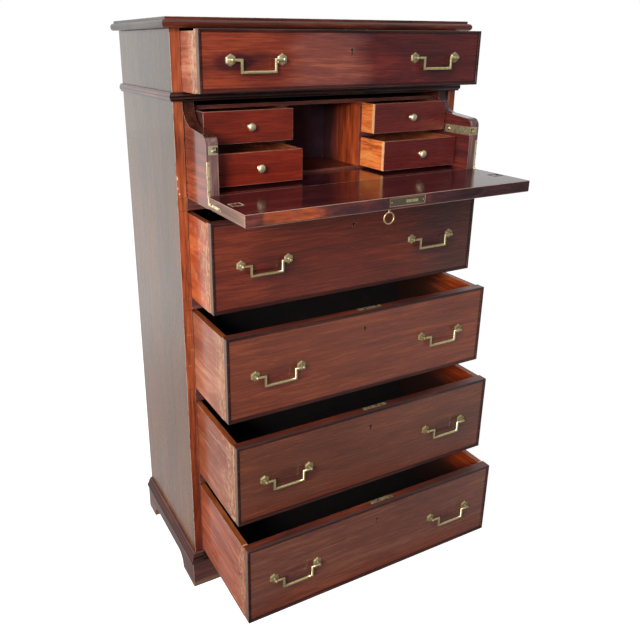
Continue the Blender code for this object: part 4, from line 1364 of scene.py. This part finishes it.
def dress_secretaire():
    wood, _ = settings()
    dress_arms()
    finishes = {
        "bed": mahogany(
            "writing bed", tones("front", (0.36, 0.24, 0.60)), roughness=0.15, coat=0.5, seed=61.0,
            bump=0.06,
        ),
        "edge": mahogany("writing bed edge", tones("case"), roughness=0.35, seed=62.0),
        "arris": worn_arris("writing bed arris", "front", 61.0, 0.8),
    }
    dress(
        "writing_bed",
        lambda middle, normal, spread: "bed" if facing(normal, "z", 1) else "edge",
        finishes,
        wood.arris_width,
    )
    finishes = {
        # Painted shade: the back behind the pigeonholes is coloured dark
        "back": painted_shade_wood("secretaire back", (0.055, 0.018, 0.032)),
        "arris": worn_arris("secretaire back arris", "case", 63.0, 0.3),
    }
    dress("secretaire_back", None, finishes, wood.arris_width)
    dress_nest()
    dress_fall()


# Small drawers


# The colour factors of each small drawer's front
SMALL_FRONT_FACTORS = {
    "upper_left_small_drawer": (1.22, 0.55, 0.45),
    "lower_left_small_drawer": (1.45, 0.58, 0.45),
    "upper_right_small_drawer": (1.0, 0.62, 1.0),
    "lower_right_small_drawer": (0.85, 0.42, 0.7),
}


def dress_small_drawers():
    for number, name in enumerate(SMALL_DRAWERS):
        low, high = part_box(name)
        words = name.replace("_", " ")
        seed = 81.0 + 1.9 * number
        finishes = {
            "face": mahogany(
                f"{words} face", tones("front", SMALL_FRONT_FACTORS[name], 0.5), roughness=0.30,
                coat=0.05, seed=seed, figure=0.6, scale=1.4,
            ),
            # Painted shade: a darker copy of the side wood, on the left drawers' left sides, which lie in
            # the arm's shadow
            "shaded side": mahogany(
                f"{words} red side", tones("case", (0.8, 0.8, 1.0)), grain="y", roughness=0.42,
                seed=seed + 1,
            ),
            "side": mahogany(
                f"{words} side", tones("stile", (3.2, 3.6, 2.6)), grain="y", roughness=0.42,
                seed=seed + 1, figure=0.5, scale=3.0,
                fade=(("y", low.y + 0.009, low.y + 0.008, (0.98, 0.56, 0.26), 0.75),),
            ),
            "edge": mahogany(
                f"{words} edges", tones("stile", (1.2, 1.3, 1.0)), grain="y", roughness=0.42,
                seed=seed + 2,
            ),
            "inside": mahogany(
                f"{words} inside", tones("stile", (0.9, 0.9, 0.9)), grain="y", roughness=0.55,
                seed=seed + 3,
            ),
            "arris": worn_arris(f"{words} arris", "stile", seed, 0.6),
        }

        def choose_small(middle, normal, spread):
            if facing(normal, "y", -1) and middle.y < low.y + NEAR:
                return "face"
            if facing(normal, "z", 1) and middle.z > high.z - NEAR:
                return "edge"
            if facing(normal, "x", -1) and middle.x < low.x + NEAR and "left" in name:
                return "shaded side"
            outer = min(middle.x - low.x, high.x - middle.x) < NEAR
            rear = facing(normal, "y", 1) and middle.y > high.y - NEAR
            return "side" if rear or (sideways(normal) and outer) else "inside"

        dress(name, choose_small, finishes, 0.0006)


# Brass


# The hinges' dark film with bright flecks: worn brass, the flecks also painted glints
WORN_FILM = (0.085, 0.045, 0.028)
HINGE_TINT = (1.0, 0.86, 0.56)

# The brass of each hinge strip and catch
CATCH_LOOKS = {
    "hinge_arm_strip": {
        "tarnish": 0.45,
        "roughness": 0.55,
        "tint": HINGE_TINT,
        "film": WORN_FILM,
        "fineness": 1.7,
        "edge": 0.05,
    },
    "hinge_fall_strip": {
        "tarnish": 0.36,
        "roughness": 0.55,
        "tint": HINGE_TINT,
        "film": WORN_FILM,
        "fineness": 1.5,
        "edge": 0.05,
    },
    "catch_plate": {
        "tarnish": 0.50,
        "roughness": 0.40,
        "film": (0.15, 0.105, 0.045),
        "fineness": 0.8,
        "edge": 0.50,
    },
    "catch_bolt": {
        "tarnish": 0.20,
        "roughness": 0.35,
        "tint": (0.82, 0.60, 0.42),
        "edge": 0.22,
    },
}

# Front faces that look otherwise than the rest of their brass
CATCH_FACES = {
    ("left", "catch_plate"): {"tarnish": 0.05, "tint": (1.0, 0.93, 0.72)},
    ("left", "catch_bolt"): {"tint": (0.30, 0.21, 0.15)},
}

# How much less tarnish the front faces and the arrises of a catch have
FACE_POLISH = 0.25
ARRIS_POLISH = 0.35

# Half the size of the hole in the front of a catch plate, across and up
NOSE_HOLE = (0.0064, 0.0050)

# How wide the arrises are on the catch plates, the other hinge and catch pieces, and the lock
PLATE_ARRIS = 0.0009
STRIP_ARRIS = 0.0005
LOCK_ARRIS = 0.0002
# Round parts look smooth over corners that turn by fewer degrees than this
ROUND_CREASE = 50.0


def dress_bails():
    for drawer in LONG_DRAWERS:
        for label, _ in SIDES:
            words = f"{drawer} {label} bail".replace("_", " ")
            finishes = {"bail": brass(words, tarnish=0.26, roughness=0.40, tint=(0.82, 0.70, 0.36))}
            dress(f"{drawer}_{label}_bail", None, finishes, sharp=ROUND_CREASE)


def dress_catches():
    for label, _ in SIDES:
        low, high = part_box(f"{label}_catch_bolt")
        nose = (((low.x + high.x) / 2, (low.z + high.z) / 2), NOSE_HOLE)
        for piece, looks in CATCH_LOOKS.items():
            words = f"{label} {piece}".replace("_", " ")
            plate = piece == "catch_plate"
            face = {**looks, "tarnish": looks["tarnish"] - FACE_POLISH}
            face.update(CATCH_FACES.get((label, piece), {}))
            arris = {**looks, "tarnish": looks["tarnish"] - ARRIS_POLISH}
            finishes = {
                "brass": brass(words, **looks),
                "front": brass(f"{words} front", hollow=nose if plate else None, **face),
                "arris": brass(f"{words} arris", **arris),
            }
            dress(
                f"{label}_{piece}",
                lambda middle, normal, spread: "front" if facing(normal, "y", -1) else "brass",
                finishes,
                PLATE_ARRIS if plate else STRIP_ARRIS,
                shortest=0.002,
            )


def dress_lock():
    for name, tarnish in (("fall_lock", 0.75), ("fall_lock_bolt", 0.35)):
        words = name.replace("_", " ")
        finishes = {
            "brass": brass(words, tarnish=tarnish, roughness=0.30, film=(0.13, 0.105, 0.065)),
            "arris": brass(f"{words} arris", tarnish=0.3),
        }
        dress(name, None, finishes, LOCK_ARRIS, shortest=0.002)


def dress_brass():
    dress_bails()
    dress_catches()
    dress_lock()


def rings_to_mesh(name, rings, ends=True):
    """A skin over rings that have the same number of points, with flat ends or a closed loop."""
    shape = bmesh.new()
    built = [[shape.verts.new(point) for point in ring] for ring in rings]
    pairs = list(zip(built, built[1:]))
    if not ends:
        pairs.append((built[-1], built[0]))
    count = len(built[0])
    for first, second in pairs:
        for side in range(count):
            after = (side + 1) % count
            shape.faces.new((first[side], first[after], second[after], second[side]))
    if ends:
        shape.faces.new(built[0])
        shape.faces.new(built[-1])
    bmesh.ops.recalc_face_normals(shape, faces=shape.faces)
    return mesh_from(shape, name)


# The outline of a knob from the wood outwards: shares of its radius and of its reach
KNOB_SHARES = (
    (0.54, 0.0),
    (0.56, 0.03),
    (0.56, 0.07),
    (0.50, 0.09),
    (0.40, 0.12),
    (0.33, 0.18),
    (0.30, 0.26),
    (0.30, 0.36),
    (0.34, 0.44),
    (0.48, 0.50),
    (0.74, 0.545),
    (0.90, 0.60),
    (0.985, 0.66),
    (0.998, 0.71),
    (0.975, 0.77),
    (0.90, 0.84),
    (0.76, 0.905),
    (0.56, 0.955),
    (0.32, 0.985),
    (0.10, 0.999),
)


def turn_knobs():
    _, metal = settings()
    angles = [math.tau * side / metal.turning for side in range(metal.turning)]
    for drawer in SMALL_DRAWERS:
        name = f"{drawer}_knob"
        low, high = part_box(name)
        radius = (high.x - low.x) / 2
        reach = high.y - low.y
        middle = (low + high) / 2
        rings = [
            [
                (
                    middle.x + radius * radius_share * math.cos(angle),
                    high.y - reach * reach_share,
                    middle.z + radius * radius_share * math.sin(angle),
                )
                for angle in angles
            ]
            for radius_share, reach_share in KNOB_SHARES
        ]
        mesh = rings_to_mesh(f"turned_{name}", rings)
        mesh.shade_smooth()
        mesh.set_sharp_from_angle(angle=math.radians(ROUND_CREASE))
        words = name.replace("_", " ")
        mesh.materials.append(
            brass(f"{words} brass", tarnish=0.12, roughness=0.46, tint=(0.90, 0.80, 0.52))
        )
        made = new_object(f"turned_{name}", mesh)
        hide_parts(name)
        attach(made, frame["nodes"][name]["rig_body"])


def finish_key():
    finishes = {"key": brass("key", tarnish=0.15, roughness=0.40, tint=(0.92, 0.66, 0.34))}
    dress("key", None, finishes, sharp=ROUND_CREASE)


# Fittings that lie in the wood


# Of a lock plate: its middle along X, the wood behind it, its depth and its corners' radius
PLATE_MIDDLE = 0.014
PLATE_BACK_EDGE = 0.0012
PLATE_DEPTH = 0.0015
PLATE_CORNER = 0.0012


def plate_mesh(name, low, high):
    """A thin plate with rounded corners, between two corners of a box."""
    shape = bmesh.new()
    bmesh.ops.create_cube(shape, size=1.0)
    for vert in shape.verts:
        vert.co = Vector([low[i] + (high[i] - low[i]) * (vert.co[i] + 0.5) for i in range(3)])
    upright = [edge for edge in shape.edges if abs(edge.verts[0].co.z - edge.verts[1].co.z) > 1e-6]
    bmesh.ops.bevel(
        shape, geom=upright, offset=PLATE_CORNER, segments=3, profile=0.5, affect="EDGES"
    )
    bmesh.ops.recalc_face_normals(shape, faces=shape.faces)
    return mesh_from(shape, name)


def plate_row(drawer):
    """The Y of the middle of a drawer's lock plate, and the level of the wood round it."""
    _, metal = settings()
    middle = drawer_plane(drawer) + FRONT_THICKNESS - PLATE_BACK_EDGE - metal.plate_width / 2
    return middle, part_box(f"{drawer}_front")[1].z


def lay_lock_plates():
    """A brass plate let into the top edge of each long drawer's front, over its lock."""
    _, metal = settings()
    for drawer in LONG_DRAWERS:
        middle, top = plate_row(drawer)
        half = metal.plate_length / 2
        low = (PLATE_MIDDLE - half, middle - metal.plate_width / 2, top - PLATE_DEPTH)
        high = (PLATE_MIDDLE + half, middle + metal.plate_width / 2, top + metal.plate_stand)
        mesh = plate_mesh(f"{drawer}_lock_plate", low, high)
        worn = brass(
            f"{drawer} lock plate".replace("_", " "), tarnish=0.42, roughness=0.42,
            film=(0.15, 0.10, 0.045), fineness=0.9, edge=0.13,
        )
        mesh.materials.append(worn)
        plate = new_object(f"{drawer}_lock_plate", mesh)
        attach(plate, drawer)


# Of a keyhole: the round head, the slot below it, how far the head is below the front's top,
# and its place along X
KEYHOLE_RADIUS = 0.0026
KEYHOLE_HALF_SLOT = 0.0012
KEYHOLE_SLOT_LENGTH = 0.0095
KEYHOLE_DROP = 0.035
KEYHOLE_MIDDLE = -0.0037
KEYHOLE_STEPS = 16
# How far a liner reaches into the hole, stands before the front and goes back
LINER_OVERLAP = 0.00005
LINER_STAND = 0.0001
LINER_DEPTH = 0.003


def keyhole_outline(wall, head):
    """The points of a keyhole outline that runs `wall` outside the hole."""
    radius = KEYHOLE_RADIUS + wall
    half = KEYHOLE_HALF_SLOT + wall
    opening = math.asin(half / radius)
    points = []
    for step in range(KEYHOLE_STEPS + 1):
        angle = opening - math.pi / 2 + (math.tau - 2 * opening) * step / KEYHOLE_STEPS
        points.append((KEYHOLE_MIDDLE + radius * math.cos(angle), head + radius * math.sin(angle)))
    foot = head - KEYHOLE_SLOT_LENGTH - wall
    points.append((KEYHOLE_MIDDLE - half, foot))
    points.append((KEYHOLE_MIDDLE + half, foot))
    return points


def line_keyholes():
    """A thin brass liner round each keyhole."""
    _, metal = settings()
    for drawer in LONG_DRAWERS:
        plane = drawer_plane(drawer)
        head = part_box(f"{drawer}_front")[1].z - KEYHOLE_DROP
        inner = keyhole_outline(-LINER_OVERLAP, head)
        outer = keyhole_outline(metal.liner_wall, head)
        front = plane - LINER_STAND
        rear = plane + LINER_DEPTH
        rings = [
            [(x, y, z) for x, z in outline]
            for outline, y in ((inner, front), (outer, front), (outer, rear), (inner, rear))
        ]
        mesh = rings_to_mesh(f"{drawer}_keyhole_liner", rings, ends=False)
        words = f"{drawer} keyhole liner".replace("_", " ")
        mesh.materials.append(brass(words, tarnish=0.55, roughness=0.3, film=(0.10, 0.06, 0.035)))
        liner = new_object(f"{drawer}_keyhole_liner", mesh)
        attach(liner, drawer)


# Of a frame round a bolt's pocket: its play, its wall at the sides, its depth and its stand
STRIKER_PLAY = 0.0008
STRIKER_WALL = 0.0035
STRIKER_DEPTH = 0.0012
STRIKER_STAND = 0.0001

# The tarnish and the tint of each frame
STRIKER_LOOKS = {"left": (0.38, (0.95, 0.88, 0.60)), "right": (0.80, (0.50, 0.38, 0.30))}


def frame_strikers():
    """A brass frame in the fall front round each pocket that a catch bolt enters."""
    _, metal = settings()
    pivot = next(joint["pos_m"] for joint in frame["joints"] if joint["name"] == "fall_hinge")
    _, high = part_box("fall_front")
    sunk = high.z - STRIKER_DEPTH
    proud = high.z + STRIKER_STAND
    for label, _ in SIDES:
        bolt_low, bolt_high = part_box(f"{label}_catch_bolt")
        middle_x = (bolt_low.x + bolt_high.x) / 2
        middle_y = pivot[1] + pivot[2] - (bolt_low.z + bolt_high.z) / 2
        inner = (bolt_high.x - bolt_low.x) / 2 + STRIKER_PLAY
        across = inner + STRIKER_WALL
        along = metal.striker_length / 2
        rings = [
            [
                (middle_x + half_x * x, middle_y + half_y * y, z)
                for x, y in ((-1, -1), (1, -1), (1, 1), (-1, 1))
            ]
            for half_x, half_y, z in (
                (inner, inner, sunk),
                (inner, inner, proud),
                (across, along, proud),
                (across, along, sunk),
            )
        ]
        mesh = rings_to_mesh(f"{label}_striker", rings, ends=False)
        tarnish, tint = STRIKER_LOOKS[label]
        worn = brass(
            f"{label} striker", tarnish=tarnish, roughness=0.5, film=(0.06, 0.03, 0.02), tint=tint,
            fineness=1.6, edge=0.05,
        )
        mesh.materials.append(worn)
        striker = new_object(f"{label}_striker", mesh)
        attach(striker, "fall")


# The random turns of the first body's screws
SCREW_SEED = 7


def screw_tree(material):
    """Slotted screw heads on the points of a mesh, each turned its own way."""
    tree, entry, out = new_group(
        "Slotted Screws",
        "GeometryNodeTree",
        [
            ("Geometry", "NodeSocketGeometry", None),
            ("Head Radius", "NodeSocketFloat", 0.0017),
            ("Head Height", "NodeSocketFloat", 0.0006),
            ("Slot Width", "NodeSocketFloat", 0.0005),
            ("Seed", "NodeSocketInt", SCREW_SEED),
        ],
        [("Geometry", "NodeSocketGeometry")],
    )
    radius = entry.outputs["Head Radius"]
    height = entry.outputs["Head Height"]
    head = node(
        tree, "GeometryNodeMeshCylinder", {"Vertices": 20, "Radius": radius, "Depth": height}
    )
    length = product(tree, radius, 3.0)
    size = node(
        tree, "ShaderNodeCombineXYZ", {0: length, 1: entry.outputs["Slot Width"], 2: height}
    )
    cutter = node(tree, "GeometryNodeMeshCube", {"Size": size.outputs[0]})
    lift = node(tree, "ShaderNodeCombineXYZ", {2: product(tree, height, 0.6)})
    moved = node(
        tree,
        "GeometryNodeTransform",
        {"Geometry": cutter.outputs["Mesh"], "Translation": lift.outputs[0]},
    )
    slotted = node(
        tree,
        "GeometryNodeMeshBoolean",
        {"Mesh 1": head.outputs["Mesh"], "Mesh 2": moved.outputs[0]},
        operation="DIFFERENCE",
    )
    points = node(tree, "GeometryNodeMeshToPoints", {"Mesh": entry.outputs["Geometry"]})
    out_of = node(
        tree, "GeometryNodeInputNamedAttribute", {"Name": "facing"}, data_type="FLOAT_VECTOR"
    )
    aligned = node(
        tree, "FunctionNodeAlignRotationToVector", {"Vector": out_of.outputs[0]}, axis="Z"
    )
    spin = node(
        tree,
        "FunctionNodeRandomValue",
        {2: 0.0, 3: math.pi, "Seed": entry.outputs["Seed"]},
        data_type="FLOAT",
    )
    about = node(
        tree,
        "FunctionNodeAxisAngleToRotation",
        {"Axis": (0.0, 0.0, 1.0), "Angle": spin.outputs[1]},
    )
    turned = node(
        tree,
        "FunctionNodeRotateRotation",
        {"Rotation": aligned.outputs[0], "Rotate By": about.outputs[0]},
        rotation_space="LOCAL",
    )
    placed = node(
        tree,
        "GeometryNodeInstanceOnPoints",
        {"Points": points.outputs[0], "Instance": slotted.outputs[0], "Rotation": turned.outputs[0]},
    )
    real = node(tree, "GeometryNodeRealizeInstances", {"Geometry": placed.outputs[0]})
    finished = node(
        tree, "GeometryNodeSetMaterial", {"Geometry": real.outputs[0], "Material": material}
    )
    connect(tree, out, {"Geometry": finished.outputs[0]})
    return tree


# How far the middle of a screw's head is out of the face that it is driven into, and how far
# it is from the end of a lock plate
HEAD_STAND = 0.0001
HEAD_INSET = 0.0047
# How deep the middles of the heads are in the fall's lock, and how far from its ends
LOCK_HEAD_SUNK = 0.00028
LOCK_HEAD_INSET = 0.0038
# The screws of an arm strip, as shares of its height
ARM_STRIP_SHARES = (0.18, 0.55, 0.92)
# The screws of a catch plate, as shares of its depth, and their height over its middle
CATCH_PLATE_SHARES = (0.26, 0.95)
CATCH_SCREW_RISE = 0.0045
# The screws of a fall strip, from its front edge and from its lower side
FALL_STRIP_PLACES = (0.007, 0.028)
FALL_STRIP_RISE = 0.0025


def screw_places():
    """The places and facings of the screws of each body."""
    _, metal = settings()
    places = {}
    reach = metal.plate_length / 2 - HEAD_INSET
    for drawer in LONG_DRAWERS:
        middle, top = plate_row(drawer)
        level = top + HEAD_STAND
        places[drawer] = [
            ((PLATE_MIDDLE + side * reach, middle, level), (0, 0, 1)) for _, side in SIDES
        ]
    arms = []
    falls = []
    for label, side in SIDES:
        low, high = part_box(f"{label}_hinge_arm_strip")
        for share in ARM_STRIP_SHARES:
            level = low.z + (high.z - low.z) * share
            arms.append((((low.x + high.x) / 2, low.y - HEAD_STAND, level), (0, -1, 0)))
        low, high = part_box(f"{label}_catch_plate")
        inner = high.x if side < 0 else low.x
        level = (low.z + high.z) / 2 + CATCH_SCREW_RISE
        for share in CATCH_PLATE_SHARES:
            arms.append(((inner, low.y + (high.y - low.y) * share, level), (-side, 0, 0)))
        low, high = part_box(f"{label}_hinge_fall_strip")
        outer = low.x if side < 0 else high.x
        for distance in FALL_STRIP_PLACES:
            falls.append(((outer, low.y + distance, low.z + FALL_STRIP_RISE), (side, 0, 0)))
    low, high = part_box("fall_lock")
    for x in (low.x + LOCK_HEAD_INSET, high.x - LOCK_HEAD_INSET):
        falls.append(((x, low.y + LOCK_HEAD_SUNK, (low.z + high.z) / 2), (0, -1, 0)))
    places["secretaire_drawer"] = arms
    places["fall"] = falls
    return places


def drive_screws():
    _, metal = settings()
    tree = screw_tree(brass("screw heads", tarnish=0.35, roughness=0.28))
    identifiers = {
        item.name: item.identifier
        for item in tree.interface.items_tree
        if item.item_type == "SOCKET" and item.in_out == "INPUT"
    }
    for number, (body, places) in enumerate(screw_places().items()):
        mesh = bpy.data.meshes.new(f"{body}_screw_points")
        mesh.from_pydata([place for place, _ in places], [], [])
        attribute = mesh.attributes.new("facing", "FLOAT_VECTOR", "POINT")
        for index, (_, out) in enumerate(places):
            attribute.data[index].vector = out
        source = new_object(f"{body}_screw_points", mesh)
        modifier = source.modifiers.new("screws", "NODES")
        modifier.node_group = tree
        modifier[identifiers["Head Radius"]] = metal.screw_radius
        modifier[identifiers["Slot Width"]] = metal.screw_slot
        modifier[identifiers["Seed"]] = SCREW_SEED + number
        graph = bpy.context.evaluated_depsgraph_get()
        made = bpy.data.meshes.new_from_object(source.evaluated_get(graph))
        made.name = f"{body}_screws"
        bpy.data.objects.remove(source)
        screws = new_object(f"{body}_screws", made)
        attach(screws, body)


# Stage


def lamp(name, place, target, power, size, colour):
    data = bpy.data.lights.new(name, "AREA")
    data.shape = "RECTANGLE"
    data.size, data.size_y = size
    data.energy = power
    data.color = colour
    made = new_object(name, data)
    made.location = place
    made.rotation_euler = (Vector(target) - Vector(place)).to_track_quat("-Z", "Y").to_euler()
    made.visible_camera = False
    return made


def studio_world():
    """White behind the chest. What the polish reflects is bright behind it and dark before it."""
    stage = bpy.context.scene.chest_stage
    world = bpy.data.worlds.new("studio")
    tree = cleared_tree(world)
    paths = node(tree, "ShaderNodeLightPath")
    shown = math_node(
        tree, "MAXIMUM", paths.outputs["Is Camera Ray"], paths.outputs["Is Transmission Ray"]
    )
    direction = node(tree, "ShaderNodeTexCoord").outputs["Generated"]
    across, depth, height = node(tree, "ShaderNodeSeparateXYZ", {0: direction}).outputs
    before = blend(tree, ramp(tree, across, 0.30, 0.75), 0.06, 0.28)
    behind = ramp(tree, depth, -0.35, 0.30)
    beside = product(tree, ramp(tree, across, -0.25, -0.75), 0.85)
    around = blend(tree, math_node(tree, "MAXIMUM", behind, beside), before, 1.05)
    reflected = blend(tree, ramp(tree, height, 0.30, 0.75), around, 0.65)
    seen = blend(tree, paths.outputs["Is Glossy Ray"], stage.room_light, reflected)
    strength = blend(tree, shown, seen, 1.0)
    white = {"Color": (1.0, 1.0, 1.0), "Strength": strength}
    background = node(tree, "ShaderNodeBackground", white)
    node(tree, "ShaderNodeOutputWorld", {"Surface": background.outputs[0]})
    return world


def floor_material():
    """A pale floor that the camera sees as white but for the deepest of the shadow, and that
    the polish reflects as bright behind the chest and dim before it."""
    material = bpy.data.materials.new("pale floor")
    tree = cleared_tree(material)
    paths = node(tree, "ShaderNodeLightPath")
    facing_up = node(tree, "ShaderNodeNewGeometry")
    place = node(tree, "ShaderNodeTexCoord").outputs["Object"]
    across, depth, _ = node(tree, "ShaderNodeSeparateXYZ", {0: place}).outputs
    before = blend(tree, ramp(tree, across, 0.0, 0.9), 0.07, 0.45)
    near = blend(tree, ramp(tree, depth, -2.6, -1.5), 0.35, 1.0)
    before = product(tree, before, near)
    behind = blend(tree, ramp(tree, depth, 0.6, 1.9), 0.55, 0.95)
    reflected = blend(tree, ramp(tree, depth, -0.35, 0.35), before, behind)
    matt = node(tree, "ShaderNodeBsdfDiffuse", {"Color": (0.80, 0.80, 0.80)})
    glow = product(tree, paths.outputs["Is Camera Ray"], 0.78)
    lift = node(tree, "ShaderNodeEmission", {"Strength": glow})
    lit = node(tree, "ShaderNodeAddShader", {0: matt.outputs[0], 1: lift.outputs[0]})
    mirrored = node(tree, "ShaderNodeEmission", {"Strength": reflected})
    polished = node(
        tree,
        "ShaderNodeMixShader",
        {0: paths.outputs["Is Glossy Ray"], 1: lit.outputs[0], 2: mirrored.outputs[0]},
    )
    clear = node(tree, "ShaderNodeBsdfTransparent")
    below = node(
        tree,
        "ShaderNodeMixShader",
        {0: facing_up.outputs["Backfacing"], 1: polished.outputs[0], 2: clear.outputs[0]},
    )
    node(tree, "ShaderNodeOutputMaterial", {"Surface": below.outputs[0]})
    return material


FLOOR_RADIUS = 9.0


def set_stage():
    stage = bpy.context.scene.chest_stage
    camera = new_object("camera", bpy.data.cameras.new("camera"))
    camera.location = stage.camera_place
    camera.rotation_euler = stage.camera_turn
    camera.data.sensor_width = 36.0
    camera.data.lens = stage.lens
    camera.data.shift_x = stage.shift_x
    camera.data.shift_y = stage.shift_y
    bpy.context.scene.camera = camera
    warm = (1.0, 0.98, 0.95)
    cool = (0.97, 0.98, 1.0)
    lamp("left window", (-3.0, -0.7, 1.9), (0.0, 0.0, 0.6), stage.key_power, (2.2, 2.4), warm)
    lamp("front window", (-2.6, -2.5, 1.95), (0.0, 0.0, 0.7), stage.fill_power, (1.1, 1.1), cool)
    shape = bmesh.new()
    bmesh.ops.create_circle(shape, cap_ends=True, segments=64, radius=FLOOR_RADIUS)
    mesh = mesh_from(shape, "floor")
    mesh.materials.append(floor_material())
    new_object("floor", mesh)
    bpy.context.scene.world = studio_world()
    bpy.context.scene.view_settings.view_transform = "Standard"


# Add-on


class CHEST_OT_dress_carcase(Operator):
    """Ease the arrises of the case and polish it"""

    bl_idname = "chest.dress_carcase"
    bl_label = "Dress Carcase"

    def execute(self, context):
        dress_carcase()
        return {"FINISHED"}


class CHEST_OT_dress_long_drawers(Operator):
    """Finish the fronts and boxes of the long drawers"""

    bl_idname = "chest.dress_long_drawers"
    bl_label = "Dress Long Drawers"

    def execute(self, context):
        dress_long_drawers()
        return {"FINISHED"}


class CHEST_OT_dress_secretaire(Operator):
    """Finish the writing drawer, its nest and its fall front"""

    bl_idname = "chest.dress_secretaire"
    bl_label = "Dress Secretaire"

    def execute(self, context):
        dress_secretaire()
        return {"FINISHED"}


class CHEST_OT_dress_small_drawers(Operator):
    """Finish the small drawers of the nest"""

    bl_idname = "chest.dress_small_drawers"
    bl_label = "Dress Small Drawers"

    def execute(self, context):
        dress_small_drawers()
        return {"FINISHED"}


class CHEST_OT_dress_brass(Operator):
    """Age the bails, hinges, catches and lock"""

    bl_idname = "chest.dress_brass"
    bl_label = "Dress Brass"

    def execute(self, context):
        dress_brass()
        return {"FINISHED"}


class CHEST_OT_turn_knobs(Operator):
    """Turn the knobs of the small drawers"""

    bl_idname = "chest.turn_knobs"
    bl_label = "Turn Knobs"

    def execute(self, context):
        turn_knobs()
        return {"FINISHED"}


class CHEST_OT_finish_key(Operator):
    """Polish the key in the fall front"""

    bl_idname = "chest.finish_key"
    bl_label = "Finish Key"

    def execute(self, context):
        finish_key()
        return {"FINISHED"}


class CHEST_OT_lay_lock_plates(Operator):
    """Let a plate into the top edge of each long drawer"""

    bl_idname = "chest.lay_lock_plates"
    bl_label = "Lay Lock Plates"

    def execute(self, context):
        lay_lock_plates()
        return {"FINISHED"}


class CHEST_OT_line_keyholes(Operator):
    """Line each keyhole with brass"""

    bl_idname = "chest.line_keyholes"
    bl_label = "Line Keyholes"

    def execute(self, context):
        line_keyholes()
        return {"FINISHED"}


class CHEST_OT_frame_strikers(Operator):
    """Frame the pockets that the catch bolts enter"""

    bl_idname = "chest.frame_strikers"
    bl_label = "Frame Strikers"

    def execute(self, context):
        frame_strikers()
        return {"FINISHED"}


class CHEST_OT_drive_screws(Operator):
    """Drive slotted screws into the plates and hinges"""

    bl_idname = "chest.drive_screws"
    bl_label = "Drive Screws"

    def execute(self, context):
        drive_screws()
        return {"FINISHED"}


class CHEST_OT_set_stage(Operator):
    """Set the floor, the lamps and the camera"""

    bl_idname = "chest.set_stage"
    bl_label = "Set Stage"

    def execute(self, context):
        set_stage()
        return {"FINISHED"}


OPERATORS = (
    CHEST_OT_dress_carcase,
    CHEST_OT_dress_long_drawers,
    CHEST_OT_dress_secretaire,
    CHEST_OT_dress_small_drawers,
    CHEST_OT_dress_brass,
    CHEST_OT_turn_knobs,
    CHEST_OT_finish_key,
    CHEST_OT_lay_lock_plates,
    CHEST_OT_line_keyholes,
    CHEST_OT_frame_strikers,
    CHEST_OT_drive_screws,
    CHEST_OT_set_stage,
)


class CHEST_PT_finishes(Panel):
    """Settings and steps for finishing the chest"""

    bl_idname = "CHEST_PT_finishes"
    bl_label = "Chest Finishes"
    bl_space_type = "VIEW_3D"
    bl_region_type = "UI"
    bl_category = "Chest"

    def draw(self, context):
        for label, group in (
            ("Mahogany", context.scene.chest_wood),
            ("Brass", context.scene.chest_brass),
            ("Stage", context.scene.chest_stage),
        ):
            box = self.layout.box()
            box.label(text=label)
            for name in group.__annotations__:
                box.prop(group, name)
        for operator in OPERATORS:
            self.layout.operator(operator.bl_idname)


CLASSES = (MahoganySettings, BrassSettings, StageSettings, *OPERATORS, CHEST_PT_finishes)


def register():
    for item in CLASSES:
        bpy.utils.register_class(item)
    bpy.types.Scene.chest_wood = PointerProperty(type=MahoganySettings)
    bpy.types.Scene.chest_brass = PointerProperty(type=BrassSettings)
    bpy.types.Scene.chest_stage = PointerProperty(type=StageSettings)


def unregister():
    del bpy.types.Scene.chest_stage
    del bpy.types.Scene.chest_brass
    del bpy.types.Scene.chest_wood
    for item in reversed(CLASSES):
        bpy.utils.unregister_class(item)


def main():
    register()
    for operator in OPERATORS:
        group, name = operator.bl_idname.split(".")
        getattr(getattr(bpy.ops, group), name)()


if __name__ == "__main__":
    main()
